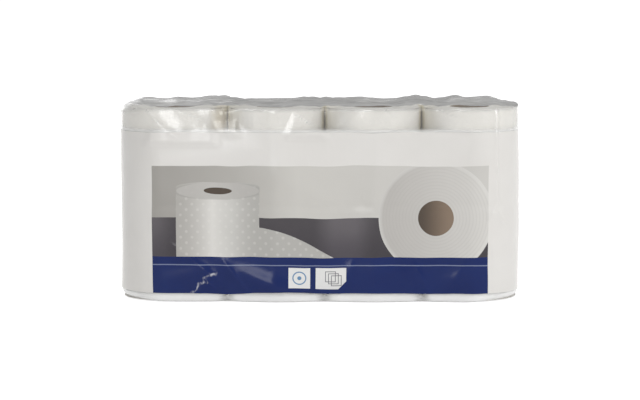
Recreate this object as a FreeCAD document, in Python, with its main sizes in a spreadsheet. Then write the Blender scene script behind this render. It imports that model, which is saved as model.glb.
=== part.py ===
"""Pack of eight toilet paper rolls, four wide and two high, in a printed clear film wrap.

Millimetres. The pack stands on its base. The origin is the centre of the base, +X runs along
the row of rolls, -Y is the printed front and +Z is up. The rolls stand on end.
"""

import FreeCAD, Part
import math
import os

import Sketcher

Vector = FreeCAD.Vector
doc = FreeCAD.newDocument("RollPack")

# Driving sizes, in millimetres, degrees or as a count
SIZES = {
    # wound paper rolls; the first column has been squeezed to an oval
    "roll_diameter": 98.0,
    "roll_height": 97.0,
    "pressed_width": 107.5,
    "pressed_depth": 88.0,
    "paper_thickness": 0.5,
    "roll_gap": 0.3,
    "round_columns": 3,
    "layers": 2,
    "tail_turn": 40.0,
    # card core tubes
    "core_bore": 39.0,
    "core_wall": 0.8,
    "core_clearance": 0.1,
    # film wrap
    "film_wall": 0.3,
    "film_clearance": 0.3,
    "dip_radius": 500.0,
    "lap_width": 12.0,
    "lap_offset": 54.0,
    # folded and welded film at the top and bottom
    "fold_layers": 2,
    "flap_inset": 6.0,
    "flap_reach": 8.0,
    "base_flap_reach": 30.0,
    "flap_slant": 34.0,
    "weld_width": 5.0,
    "weld_height": 0.4,
    "pleat_length": 33.0,
    "pleat_width": 9.0,
    "pleat_height": 2.4,
    "pleat_crest_width": 1.1,
    "pleat_crest_start": 2.8,
    "pleat_crest_length": 8.0,
    "pleat_spacing": 14.4,
    "pleat_fan": 26.0,
    "pleat_inset": 4.9,
    # print on the front
    "ink_thickness": 0.15,
    "ink_clearance": 0.2,
    "print_width": 337.0,
    "print_base": 9.5,
    "band_height": 36.5,
    "title_height": 33.5,
    "title_drop": 23.5,
    "tile_rise": 4.6,
    "tile_height": 21.4,
    "left_tile_width": 22.0,
    "right_tile_width": 31.0,
    "tile_gap": 5.5,
    "tile_shift": -7.5,
    "tile_corner": 8.0,
    "ground_height": 40.0,
    "ring_radius": 58.0,
    "ring_core_radius": 18.0,
    "ring_shift": 116.0,
    "ring_rise": 40.0,
    "upright_left": 24.0,
    "upright_width": 84.0,
    "upright_height": 76.0,
    "upright_corner": 12.0,
    "mouth_width": 28.0,
    "mouth_height": 7.0,
    "mouth_drop": 5.0,
    "sheet_length": 74.0,
    "sheet_tip": 30.0,
}

sheet = doc.addObject("Spreadsheet::Sheet", "Sizes")
for row, (alias, value) in enumerate(SIZES.items(), start=1):
    sheet.set(f"A{row}", alias)
    sheet.set(f"B{row}", str(value))
    sheet.setAlias(f"B{row}", alias)
doc.recompute()


def size(alias):
    """The number that the sheet holds under this alias."""
    return float(sheet.get(alias))


def bind(thing, **expressions):
    """Ties properties to the sheet. A double underscore stands for the dot of a nested property."""
    for name, expression in expressions.items():
        thing.setExpression(name.replace("__", "."), expression)


# Lengths that several pieces share, as expressions on the sheet
ROW_WIDTH = "(Sizes.pressed_width + Sizes.round_columns * (Sizes.roll_diameter + Sizes.roll_gap))"
STACK_HEIGHT = "(Sizes.layers * Sizes.roll_height)"
FOLD_THICKNESS = "(Sizes.fold_layers * Sizes.film_wall)"
CAVITY_FLOOR = f"({FOLD_THICKNESS} + Sizes.film_wall)"
CAVITY_HEIGHT = f"({STACK_HEIGHT} + Sizes.film_clearance)"
FILM_TOP = f"({CAVITY_FLOOR} + {CAVITY_HEIGHT} + Sizes.film_wall)"
HALF_DEPTH = "(Sizes.roll_diameter / 2)"
ROUND_STEP = "(Sizes.roll_diameter + Sizes.roll_gap)"

columns = 1 + int(size("round_columns"))
layer_names = ["lower", "upper"] + [f"layer_{n}" for n in range(3, int(size("layers")) + 1)]


def plane_of(body, role):
    """One of the body's own origin planes."""
    return next(f for f in body.Origin.OriginFeatures if f.Role == role)


def new_body(label):
    body = doc.addObject("PartDesign::Body", label)
    body.Label = label
    return body


def new_sketch(body, role="XY_Plane"):
    sketch = body.newObject("Sketcher::SketchObject", body.Name + "_sketch")
    sketch.AttachmentSupport = (plane_of(body, role), [""])
    sketch.MapMode = "FlatFace"
    return sketch


def pad(body, sketch, length):
    feature = body.newObject("PartDesign::Pad", body.Name + "_pad")
    feature.Profile = sketch
    sketch.Visibility = False
    bind(feature, Length=length)
    return feature


def distance_along(sketch, kind, geometry, point, expression, name):
    """Fixes a point's X or Y distance from the sketch's origin."""
    position = sketch.Geometry[geometry]
    at = {1: "StartPoint", 2: "EndPoint", 3: "Center"}[point]
    value = getattr(getattr(position, at), "x" if kind == "DistanceX" else "y")
    index = sketch.addConstraint(Sketcher.Constraint(kind, -1, 1, geometry, point, value))
    sketch.renameConstraint(index, name)
    bind(sketch, **{"Constraints__" + name: expression})


def radius_of(sketch, geometry, expression, name):
    value = sketch.Geometry[geometry].Radius
    index = sketch.addConstraint(Sketcher.Constraint("Radius", geometry, value))
    sketch.renameConstraint(index, name)
    bind(sketch, **{"Constraints__" + name: expression})


def arc(center_x, center_y, radius, first, last):
    circle = Part.Circle(Vector(center_x, center_y, 0), Vector(0, 0, 1), radius)
    return Part.ArcOfCircle(circle, first, last)


def angle_from(center, point):
    return math.atan2(point[1] - center[1], point[0] - center[0])


def fixed_on_axis(sketch, geometry, expression, name):
    """Puts an arc's centre on the X axis, at a distance from the origin."""
    sketch.addConstraint(Sketcher.Constraint("PointOnObject", geometry, 3, -1))
    distance_along(sketch, "DistanceX", geometry, 3, expression, name)


def column_centres():
    """Centre of each column of rolls along X, measured from the left end of the row."""
    centres = [size("pressed_width") / 2]
    step = size("roll_diameter") + size("roll_gap")
    first = size("pressed_width") + size("roll_gap") + size("roll_diameter") / 2
    centres += [first + step * n for n in range(columns - 1)]
    return centres


def centre_expression(column):
    """The same centre as an expression on the sheet."""
    if column == 0:
        return "Sizes.pressed_width / 2"
    return f"Sizes.pressed_width - Sizes.roll_diameter / 2 + {column} * {ROUND_STEP}"


def wrap_outline(sketch, skin, skin_expression):
    """Plan outline of film that lies `skin` outside the row of rolls.

    Film follows each roll, and between two rolls it sags inwards on an arc tangent to both.
    The sketch's origin is the left end of the row of rolls.
    """
    end_radius = size("pressed_depth") / 2 + skin
    round_radius = size("roll_diameter") / 2 + skin
    dip_radius = size("dip_radius") - skin
    left = (size("pressed_depth") / 2, 0.0)
    right = (size("pressed_width") - size("pressed_depth") / 2, 0.0)
    left_x = "Sizes.pressed_depth / 2"
    right_x = "Sizes.pressed_width - Sizes.pressed_depth / 2"
    end_size = f"Sizes.pressed_depth / 2 + {skin_expression}"
    round_size = f"Sizes.roll_diameter / 2 + {skin_expression}"
    dip_size = f"Sizes.dip_radius - ({skin_expression})"

    # the circles that the film touches, from left to right: centre, radius and their expressions
    circles = [(right, end_radius, right_x, end_size)]
    for column, centre in list(enumerate(column_centres()))[1:]:
        circles.append(((centre, 0.0), round_radius, centre_expression(column), round_size))

    # tangent points of the sagging arc between each two neighbours, on the front
    dips = []
    for (near, near_radius, _, _), (far, far_radius, _, _) in zip(circles, circles[1:]):
        span = far[0] - near[0]
        near_reach = near_radius + dip_radius
        far_reach = far_radius + dip_radius
        along = (near_reach**2 - far_reach**2 + span**2) / (2 * span)
        centre = (near[0] + along, -math.sqrt(near_reach**2 - along**2))
        near_share = near_radius / near_reach
        far_share = far_radius / far_reach
        near_point = (near[0] + (centre[0] - near[0]) * near_share, centre[1] * near_share)
        far_point = (far[0] + (centre[0] - far[0]) * far_share, centre[1] * far_share)
        dips.append((centre, near_point, far_point))

    quarter = math.pi / 2
    geometry = [arc(left[0], 0, end_radius, quarter, 3 * quarter)]
    fixings = [(0, left_x, end_size)]
    order = [0]

    def add(piece):
        geometry.append(piece)
        return len(geometry) - 1

    # front, from left to right
    flat = Part.LineSegment(Vector(left[0], -end_radius, 0), Vector(right[0], -end_radius, 0))
    order.append(add(flat))
    for number, (centre, radius, x_expression, radius_expression) in enumerate(circles):
        start = 3 * quarter
        if number > 0:
            start = angle_from(centre, dips[number - 1][2])
        if number == len(circles) - 1:
            last_start = start
            break
        stop = angle_from(centre, dips[number][1])
        index = add(arc(centre[0], 0, radius, start, stop))
        fixings.append((index, x_expression, radius_expression))
        order.append(index)
        dip_centre, near_point, far_point = dips[number]
        first = angle_from(dip_centre, far_point)
        last = angle_from(dip_centre, near_point)
        order.append(add(arc(dip_centre[0], dip_centre[1], dip_radius, first, last)))
    # right end, round to the back
    centre, radius, x_expression, radius_expression = circles[-1]
    index = add(arc(centre[0], 0, radius, last_start, -last_start))
    fixings.append((index, x_expression, radius_expression))
    order.append(index)
    # back, from right to left
    for number in reversed(range(len(circles) - 1)):
        centre, radius, x_expression, radius_expression = circles[number]
        dip_centre, near_point, far_point = dips[number]
        mirror = (dip_centre[0], -dip_centre[1])
        first = angle_from(mirror, (near_point[0], -near_point[1]))
        last = angle_from(mirror, (far_point[0], -far_point[1]))
        order.append(add(arc(mirror[0], mirror[1], dip_radius, first, last)))
        stop = quarter
        if number > 0:
            before = dips[number - 1][2]
            stop = angle_from(centre, (before[0], -before[1]))
        start = angle_from(centre, (near_point[0], -near_point[1]))
        index = add(arc(centre[0], 0, radius, start, stop))
        fixings.append((index, x_expression, radius_expression))
        order.append(index)
    flat = Part.LineSegment(Vector(right[0], end_radius, 0), Vector(left[0], end_radius, 0))
    order.append(add(flat))

    sketch.addGeometry(geometry, False)
    for index, x_expression, radius_expression in fixings:
        fixed_on_axis(sketch, index, x_expression, f"centre_{index}")
        radius_of(sketch, index, radius_expression, f"radius_{index}")
    sagging = [n for n in order if n not in [f[0] for f in fixings] and hasattr(geometry[n], "Radius")]
    for index in sagging:
        radius_of(sketch, index, dip_size, f"dip_{index}")
    # a sagging arc runs the other way round than the rolls, so its ends swap
    for here, there in zip(order, order[1:] + order[:1]):
        end = 1 if here in sagging else 2
        start = 2 if there in sagging else 1
        sketch.addConstraint(Sketcher.Constraint("Tangent", here, end, there, start))


def wrap_block(name, skin_names, floor, height):
    """Solid block with the plan outline of film lying outside the rolls by the named sizes."""
    skin = sum(size(alias) for alias in skin_names)
    skin_expression = "(" + " + ".join("Sizes." + alias for alias in skin_names) + ")"
    body = new_body(name)
    sketch = new_sketch(body)
    wrap_outline(sketch, skin, skin_expression)
    pad(body, sketch, height)
    bind(body, Placement__Base__x=f"-{ROW_WIDTH} / 2", Placement__Base__z=floor)
    return body


def box_piece(name, length, depth, height, x, y, z):
    box = doc.addObject("Part::Box", name)
    bind(box, Length=length, Width=depth, Height=height)
    bind(box, Placement__Base__x=x, Placement__Base__y=y, Placement__Base__z=z)
    return box


def combine(kind, name, first, *others):
    """Part::Cut, Part::Common, Part::MultiFuse or Part::Compound of the given objects."""
    result = doc.addObject("Part::" + kind, name)
    result.Label = name
    if kind == "MultiFuse":
        result.Shapes = [first, *others]
    elif kind == "Compound":
        result.Links = [first, *others]
    else:
        result.Base = first
        result.Tool = others[0]
    return result


def polygon_outline(sketch, points):
    """Closed outline through points given as pairs of expressions on the sheet."""
    corners = [Vector(size_of(x), size_of(y), 0) for x, y in points]
    count = len(corners)
    sketch.addGeometry([Part.LineSegment(corners[n], corners[(n + 1) % count]) for n in range(count)], False)
    for n in range(count):
        sketch.addConstraint(Sketcher.Constraint("Coincident", n, 2, (n + 1) % count, 1))
    for n, (x, y) in enumerate(points):
        distance_along(sketch, "DistanceX", n, 1, x, f"x_{n}")
        distance_along(sketch, "DistanceY", n, 1, y, f"y_{n}")


def size_of(expression):
    """Works out an expression on the sheet."""
    return float(sheet.evalExpression(expression))


# Wound paper rolls


def round_section(sketch):
    """One turn of a spiral, as two half circles: the last sheet's edge stands proud by its thickness."""
    radius = size("roll_diameter") / 2
    step = size("paper_thickness")
    hole = size("core_bore") / 2 + size("core_wall") + size("core_clearance")
    sketch.addGeometry(
        [
            arc(0, 0, radius, 0, math.pi),
            arc(-step / 2, 0, radius - step / 2, math.pi, 2 * math.pi),
            Part.LineSegment(Vector(radius - step, 0, 0), Vector(radius, 0, 0)),
            Part.Circle(Vector(0, 0, 0), Vector(0, 0, 1), hole),
        ],
        False,
    )
    sketch.addConstraint(Sketcher.Constraint("Coincident", 0, 3, -1, 1))
    sketch.addConstraint(Sketcher.Constraint("PointOnObject", 0, 1, -1))
    sketch.addConstraint(Sketcher.Constraint("PointOnObject", 0, 2, -1))
    sketch.addConstraint(Sketcher.Constraint("PointOnObject", 1, 3, -1))
    sketch.addConstraint(Sketcher.Constraint("Coincident", 0, 2, 1, 1))
    sketch.addConstraint(Sketcher.Constraint("Coincident", 1, 2, 2, 1))
    sketch.addConstraint(Sketcher.Constraint("Coincident", 2, 2, 0, 1))
    sketch.addConstraint(Sketcher.Constraint("PointOnObject", 1, 2, -1))
    sketch.addConstraint(Sketcher.Constraint("Coincident", 3, 3, -1, 1))
    radius_of(sketch, 0, "Sizes.roll_diameter / 2", "turn")
    radius_of(sketch, 1, "Sizes.roll_diameter / 2 - Sizes.paper_thickness / 2", "inner_turn")
    radius_of(sketch, 3, "Sizes.core_bore / 2 + Sizes.core_wall + Sizes.core_clearance", "hole")


def pressed_section(sketch):
    """Oval section of a squeezed roll: round ends with flats between.

    The last sheet's edge is at the middle of the back.
    """
    radius = size("pressed_depth") / 2
    reach = size("pressed_width") / 2 - radius
    step = size("paper_thickness")
    hole = size("core_bore") / 2 + size("core_wall") + size("core_clearance")
    quarter = math.pi / 2
    sketch.addGeometry(
        [
            arc(-reach, 0, radius, quarter, 3 * quarter),
            Part.LineSegment(Vector(-reach, -radius, 0), Vector(reach, -radius, 0)),
            arc(reach, 0, radius, -quarter, quarter),
            Part.LineSegment(Vector(reach, radius, 0), Vector(0, radius, 0)),
            Part.LineSegment(Vector(0, radius, 0), Vector(0, radius - step, 0)),
            Part.LineSegment(Vector(0, radius - step, 0), Vector(-reach, radius, 0)),
            Part.Circle(Vector(0, 0, 0), Vector(0, 0, 1), hole),
        ],
        False,
    )
    for here, there in ((0, 1), (1, 2), (2, 3)):
        sketch.addConstraint(Sketcher.Constraint("Tangent", here, 2, there, 1))
    for here, there in ((3, 4), (4, 5), (5, 0)):
        sketch.addConstraint(Sketcher.Constraint("Coincident", here, 2, there, 1))
    sketch.addConstraint(Sketcher.Constraint("Horizontal", 1))
    sketch.addConstraint(Sketcher.Constraint("Horizontal", 3))
    sketch.addConstraint(Sketcher.Constraint("Symmetric", 0, 3, 2, 3, -1, 1))
    sketch.addConstraint(Sketcher.Constraint("PointOnObject", 0, 3, -1))
    sketch.addConstraint(Sketcher.Constraint("Vertical", 0, 3, 0, 1))
    sketch.addConstraint(Sketcher.Constraint("PointOnObject", 3, 2, -2))
    sketch.addConstraint(Sketcher.Constraint("PointOnObject", 4, 2, -2))
    sketch.addConstraint(Sketcher.Constraint("Coincident", 6, 3, -1, 1))
    radius_of(sketch, 0, "Sizes.pressed_depth / 2", "end")
    distance_along(sketch, "DistanceX", 2, 3, "Sizes.pressed_width / 2 - Sizes.pressed_depth / 2", "reach")
    distance_along(sketch, "DistanceY", 4, 2, "Sizes.pressed_depth / 2 - Sizes.paper_thickness", "tail")
    radius_of(sketch, 6, "Sizes.core_bore / 2 + Sizes.core_wall + Sizes.core_clearance", "hole")


def place(body, column, layer, turn="0"):
    """Stands a roll or core in its column and layer."""
    bind(
        body,
        Placement__Base__x=f"{centre_expression(column)} - {ROW_WIDTH} / 2",
        Placement__Base__z=f"{CAVITY_FLOOR} + {layer} * Sizes.roll_height",
        Placement__Rotation__Angle=turn,
    )


def paper_roll(column, layer):
    body = new_body(f"{layer_names[layer]}_roll_{column + 1}")
    sketch = new_sketch(body)
    if column == 0:
        pressed_section(sketch)
        turn = "0"
    else:
        round_section(sketch)
        # each roll was packed with its loose edge facing another way
        turn = f"mod((Sizes.tail_turn * {column} + {layer} * Sizes.tail_turn / 2); 360)"
    pad(body, sketch, "Sizes.roll_height")
    place(body, column, layer, turn)
    return body


def core_tube(column, layer):
    """Card tube that the paper is wound on, cut flush with the roll."""
    body = new_body(f"{layer_names[layer]}_core_{column + 1}")
    sketch = new_sketch(body)
    bore = size("core_bore") / 2
    outside = bore + size("core_wall")
    for index, radius in enumerate((bore, outside)):
        sketch.addGeometry(Part.Circle(Vector(0, 0, 0), Vector(0, 0, 1), radius), False)
        sketch.addConstraint(Sketcher.Constraint("Coincident", index, 3, -1, 1))
    radius_of(sketch, 0, "Sizes.core_bore / 2", "bore")
    radius_of(sketch, 1, "Sizes.core_bore / 2 + Sizes.core_wall", "outside")
    pad(body, sketch, "Sizes.roll_height")
    place(body, column, layer)
    return body


# Film wrap


def end_flap(name, side, floor, thickness, reach="Sizes.flap_reach"):
    """Flap folded over the rolls' ends: a trapezium from the rim on one side to `reach` past the middle."""
    far = f"({HALF_DEPTH} - Sizes.flap_inset)"
    half = f"({ROW_WIDTH} / 2 - Sizes.pressed_depth / 2)"
    tip = f"({half} - Sizes.flap_slant)"
    body = new_body(name)
    sketch = new_sketch(body)
    corners = [
        (f"-1 * {half}", f"{-side} * {far}"),
        (f"-1 * {tip}", f"{side} * {reach}"),
        (tip, f"{side} * {reach}"),
        (half, f"{-side} * {far}"),
    ]
    polygon_outline(sketch, corners)
    pad(body, sketch, thickness)
    bind(body, Placement__Base__z=floor)
    return body


def weld_strip(name, side, floor):
    """Raised heat weld along the free edge of the outer flap."""
    half = f"({ROW_WIDTH} / 2 - Sizes.pressed_depth / 2 - Sizes.flap_slant)"
    edge = f"{side} * Sizes.flap_reach - Sizes.weld_width / 2 - {side} * Sizes.weld_width / 2"
    height = "Sizes.weld_height + Sizes.film_wall"
    return box_piece(name, f"2 * {half}", "Sizes.weld_width", height, f"-1 * {half}", edge, floor)


def pleat(name, x, side, turn):
    """Low ridge of gathered film, running in from the rim and dying away towards the middle."""
    ridge = doc.addObject("Part::Wedge", name)
    bind(ridge, Xmin="-Sizes.pleat_width / 2", Xmax="Sizes.pleat_width / 2", Ymin="0", Zmin="0")
    bind(ridge, Ymax="Sizes.pleat_height + Sizes.film_wall", Zmax="Sizes.pleat_length")
    bind(ridge, X2min="-Sizes.pleat_crest_width / 2", X2max="Sizes.pleat_crest_width / 2")
    bind(ridge, Z2min="Sizes.pleat_crest_start", Z2max="Sizes.pleat_crest_start + Sizes.pleat_crest_length")
    # the wedge grows along its own Y, which is turned up to +Z, with its length running inwards
    upright = FreeCAD.Rotation(Vector(1, 0, 0), 90)
    facing = FreeCAD.Rotation(Vector(0, 0, 1), (180 if side < 0 else 0) + turn)
    ridge.Placement = FreeCAD.Placement(Vector(0, 0, 0), facing.multiply(upright))
    bind(
        ridge,
        Placement__Base__x=x,
        Placement__Base__y=f"{side} * ({HALF_DEPTH} - Sizes.pleat_inset)",
        Placement__Base__z=f"{FILM_TOP} - Sizes.film_wall",
    )
    return ridge


def film_wrap():
    """Clear film folded round the rolls: a tube lapped at the back, with folded and welded ends."""
    wall_height = f"({CAVITY_HEIGHT} + 2 * Sizes.film_wall)"
    block = wrap_block("film_block", ["film_clearance", "film_wall"], FOLD_THICKNESS, wall_height)
    lap_names = ["film_clearance", "film_wall", "film_wall"]
    lap_block = wrap_block("lap_block", lap_names, FOLD_THICKNESS, wall_height)
    lap_area = box_piece(
        "lap_area", "Sizes.lap_width", "Sizes.roll_diameter", FILM_TOP, "Sizes.lap_offset", "0", "0"
    )
    lap = combine("Common", "back_lap", lap_block, lap_area)

    cover = f"{FILM_TOP} - Sizes.film_wall"
    folds = [
        end_flap("bottom_back_flap", -1, f"{FOLD_THICKNESS} / 2", CAVITY_FLOOR),
        end_flap("bottom_front_flap", 1, "0", CAVITY_FLOOR, "Sizes.base_flap_reach"),
        end_flap("top_back_flap", -1, cover, f"{FOLD_THICKNESS} / 2 + Sizes.film_wall"),
        end_flap("top_front_flap", 1, cover, f"{FOLD_THICKNESS} + Sizes.film_wall"),
        weld_strip("top_weld", 1, f"{FILM_TOP} + {FOLD_THICKNESS} - Sizes.film_wall"),
    ]
    pleats = []
    valleys = [f"{centre_expression(n)} + {ROUND_STEP} / 2 - {ROW_WIDTH} / 2" for n in range(1, columns - 1)]
    valleys.insert(0, f"Sizes.pressed_width - {ROW_WIDTH} / 2")
    for number, valley in enumerate(valleys):
        for side in (-1, 1):
            for fan in (-1, 0, 1):
                name = f"pleat_{number}_{'front' if side < 0 else 'back'}_{fan + 1}"
                shift = f"{fan} * Sizes.pleat_spacing"
                pleats.append(pleat(name, f"{valley} + {shift}", side, fan * side * size("pleat_fan")))
    whole = combine("MultiFuse", "film_solid", block, lap, *folds, *pleats)
    cavity = wrap_block("film_cavity", ["film_clearance"], CAVITY_FLOOR, CAVITY_HEIGHT)
    return combine("Cut", "film_wrap", whole, cavity)


# Print on the front of the film

PICTURE_BASE = "(Sizes.print_base + Sizes.band_height)"
TITLE_BASE = f"({FILM_TOP} - Sizes.title_drop - Sizes.title_height)"
PRINT_LEFT = "(-1 * Sizes.print_width / 2)"


def ink_block(name, skin_names):
    """Block with the film's outline, out to one face of the layer of ink."""
    names = ["film_clearance", "film_wall", *skin_names]
    return wrap_block(name, names, FOLD_THICKNESS, f"{CAVITY_HEIGHT} + 2 * Sizes.film_wall")


def field(name, left, base, width, height):
    """Rectangle of the print, as a box in front of the pack's middle."""
    return box_piece(name, width, "Sizes.roll_diameter", height, left, "-Sizes.roll_diameter", base)


def front_shape(name, outline):
    """Body padded from the middle plane towards the front, from an outline in X and Z."""
    body = new_body(name)
    sketch = new_sketch(body, "XZ_Plane")
    outline(sketch)
    pad(body, sketch, "Sizes.roll_diameter")
    return body


def disc(name, radius):
    """Disc about the middle of the roll that is seen from its end."""

    def outline(sketch):
        height = f"{PICTURE_BASE} + Sizes.ring_rise"
        centre = Vector(size("ring_shift"), size_of(height), 0)
        sketch.addGeometry(Part.Circle(centre, Vector(0, 0, 1), size(radius)), False)
        distance_along(sketch, "DistanceX", 0, 3, "Sizes.ring_shift", "shift")
        distance_along(sketch, "DistanceY", 0, 3, height, "rise")
        radius_of(sketch, 0, f"Sizes.{radius}", "ring")

    return front_shape(name, outline)


def polygon(name, points):
    return front_shape(name, lambda sketch: polygon_outline(sketch, points))


def printed_front():
    """Fields of ink on the film's front. Each is one thin layer lying on the film."""
    face = ink_block("ink_face", ["ink_clearance", "ink_thickness"])
    ink = combine("Cut", "ink_skin", face, ink_block("ink_back", ["ink_clearance"]))

    # white ground over the whole front, left free where the picture and the band are printed
    white_left = f"(-{ROW_WIDTH} / 2 - Sizes.roll_diameter)"
    white_width = f"{ROW_WIDTH} + 2 * Sizes.roll_diameter"
    white_height = f"{TITLE_BASE} + Sizes.title_height - Sizes.print_base"
    free_height = f"{TITLE_BASE} - Sizes.print_base"
    picture_height = f"{TITLE_BASE} - {PICTURE_BASE}"
    white = field("white_area", white_left, "Sizes.print_base", white_width, white_height)
    free = field("free_area", PRINT_LEFT, "Sizes.print_base", "Sizes.print_width", free_height)
    title = combine("Cut", "white_ground", white, free)
    picture = field("picture_area", PRINT_LEFT, PICTURE_BASE, "Sizes.print_width", picture_height)
    band = field("band_area", PRINT_LEFT, "Sizes.print_base", "Sizes.print_width", "Sizes.band_height")

    # band: two pale tiles on blue
    tile_base = "(Sizes.print_base + Sizes.tile_rise)"
    left_edge = "(Sizes.tile_shift - Sizes.tile_gap / 2 - Sizes.left_tile_width)"
    left_tile = field("left_tile", left_edge, tile_base, "Sizes.left_tile_width", "Sizes.tile_height")
    start = "(Sizes.tile_shift + Sizes.tile_gap / 2)"
    stop = f"({start} + Sizes.right_tile_width)"
    top = f"({tile_base} + Sizes.tile_height)"
    right_tile = polygon(
        "right_tile",
        [
            (start, tile_base),
            (f"{stop} - Sizes.tile_corner", tile_base),
            (stop, f"{tile_base} + Sizes.tile_corner"),
            (stop, top),
            (start, top),
        ],
    )
    tiles = combine("MultiFuse", "tile_shapes", left_tile, right_tile)
    blue = combine("Cut", "band_field", band, tiles)

    # picture: a roll seen from its end, and one standing with its loose sheet lying on the floor
    ring = disc("ring_disc", "ring_radius")
    ring_core = disc("ring_core_disc", "ring_core_radius")
    near = f"({PRINT_LEFT} + Sizes.upright_left)"
    far_side = f"({near} + Sizes.upright_width)"
    crown = f"({PICTURE_BASE} + Sizes.upright_height)"
    standing = polygon(
        "standing_roll",
        [
            (near, PICTURE_BASE),
            (f"{far_side} + Sizes.sheet_length", PICTURE_BASE),
            (f"{far_side} + Sizes.sheet_length - Sizes.sheet_tip", f"{PICTURE_BASE} + Sizes.sheet_tip / 2"),
            (far_side, f"{PICTURE_BASE} + Sizes.sheet_tip"),
            (far_side, f"{crown} - Sizes.upright_corner / 2"),
            (f"{far_side} - Sizes.upright_corner", crown),
            (f"{near} + Sizes.upright_corner", crown),
            (near, f"{crown} - Sizes.upright_corner / 2"),
        ],
    )
    middle = f"({near} + Sizes.upright_width / 2)"
    mouth_level = f"({crown} - Sizes.mouth_drop - Sizes.mouth_height / 2)"
    mouth = polygon(
        "standing_roll_mouth",
        [
            (f"{middle} - Sizes.mouth_width / 2", mouth_level),
            (f"{middle} - Sizes.mouth_width / 4", f"{mouth_level} - Sizes.mouth_height / 2"),
            (f"{middle} + Sizes.mouth_width / 4", f"{mouth_level} - Sizes.mouth_height / 2"),
            (f"{middle} + Sizes.mouth_width / 2", mouth_level),
            (f"{middle} + Sizes.mouth_width / 4", f"{mouth_level} + Sizes.mouth_height / 2"),
            (f"{middle} - Sizes.mouth_width / 4", f"{mouth_level} + Sizes.mouth_height / 2"),
        ],
    )
    cores = combine("MultiFuse", "core_shapes", ring_core, mouth)
    near_ground = field("ground_area", PRINT_LEFT, PICTURE_BASE, "Sizes.print_width", "Sizes.ground_height")
    papers = combine("MultiFuse", "paper_shapes", ring, standing)
    pale = combine("Cut", "pale_shapes", papers, cores)
    wall_area = combine("Cut", "wall_area", picture, near_ground)
    wall = combine("Cut", "wall_shape", wall_area, papers)
    ground = combine("Cut", "ground_shape", near_ground, papers)
    doc.recompute()

    fields = {
        "print_title_field": title,
        "print_picture_wall": wall,
        "print_picture_ground": ground,
        "print_picture_paper": combine("Common", "paper_field", pale, picture),
        "print_picture_cores": cores,
        "print_blue_band": blue,
        "print_band_tiles": tiles,
    }
    return [combine("Common", name, ink, shape) for name, shape in fields.items()]


def all_parts():
    parts = []
    cores = []
    for layer, layer_name in enumerate(layer_names):
        rolls = [paper_roll(column, layer) for column in range(columns)]
        cores += [core_tube(column, layer) for column in range(columns)]
        parts.append(combine("Compound", f"{layer_name}_rolls", *rolls))
    parts.append(combine("Compound", "card_cores", *cores))
    parts.append(film_wrap())
    parts.extend(printed_front())
    return parts


def check(parts):
    """Stops the build where an object failed or a piece isn't sound."""
    for thing in doc.Objects:
        if {"Invalid", "Error"} & set(thing.State):
            raise RuntimeError(f"{thing.Label} failed to build: {thing.State}")
    for part in parts:
        shape = part.Shape
        if shape.isNull() or not shape.isValid() or not shape.Solids:
            raise RuntimeError(f"{part.Label} has no sound shape")


parts = all_parts()
doc.recompute()
check(parts)
os.makedirs("parts", exist_ok=True)
for part in parts:
    part.Shape.exportStep(os.path.join("parts", part.Label + ".step"))
    print(f"{part.Label}: {len(part.Shape.Solids)} solids, {part.Shape.Volume / 1000:.2f} cm3")
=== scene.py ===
import math

import bmesh
import bpy
import numpy as np
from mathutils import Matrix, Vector
from mathutils.geometry import delaunay_2d_cdt

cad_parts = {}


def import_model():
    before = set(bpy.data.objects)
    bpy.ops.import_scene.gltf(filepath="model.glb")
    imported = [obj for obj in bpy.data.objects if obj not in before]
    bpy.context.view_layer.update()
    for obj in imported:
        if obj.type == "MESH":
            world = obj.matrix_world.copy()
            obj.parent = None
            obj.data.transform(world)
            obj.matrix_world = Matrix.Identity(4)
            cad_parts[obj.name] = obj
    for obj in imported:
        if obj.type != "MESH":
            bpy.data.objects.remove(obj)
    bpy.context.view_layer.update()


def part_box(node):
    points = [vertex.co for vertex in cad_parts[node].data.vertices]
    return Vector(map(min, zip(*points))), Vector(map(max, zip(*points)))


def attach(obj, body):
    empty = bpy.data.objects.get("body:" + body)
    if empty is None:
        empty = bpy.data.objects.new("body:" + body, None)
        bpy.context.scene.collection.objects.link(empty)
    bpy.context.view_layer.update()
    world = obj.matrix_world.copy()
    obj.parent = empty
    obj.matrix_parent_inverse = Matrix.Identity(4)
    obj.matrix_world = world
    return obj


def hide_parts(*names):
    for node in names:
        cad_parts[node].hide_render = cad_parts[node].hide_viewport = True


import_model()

# Sizes in millimetres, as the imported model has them
MM = 0.001
COLUMNS = 4
ROLL_RADIUS = 49.0
PRESSED_RADIUS = 44.0
PRESSED_WIDTH = 107.5
ROLL_GAP = 0.3
FILM_OUTSIDE = 0.6
CORE_WALL = 0.8
DIP_RADIUS = 500.0
PAPER_THICKNESS = 0.5
TAIL_TURN = 40.0
FLAP_INSET = 6.0
FLAP_REACH = 8.0
BASE_FLAP_REACH = 30.0
FLAP_SLANT = 34.0
WELD_WIDTH = 5.0
LAP_LEFT = 54.0
LAP_RIGHT = 66.0


def cad(node):
    """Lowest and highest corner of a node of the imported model, in millimetres."""
    low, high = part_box(node)
    return np.array(low) / MM, np.array(high) / MM


roll_low, roll_high = cad("lower_rolls")
core_low, core_high = cad("card_cores")
film_low, _ = cad("film_wrap")

ROLL_BASE, LAYER_LEVEL = roll_low[2], roll_high[2]
ROLL_TOP = cad("upper_rolls")[1][2]
CORE_OUTSIDE = (core_high[1] - core_low[1]) / 2

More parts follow.
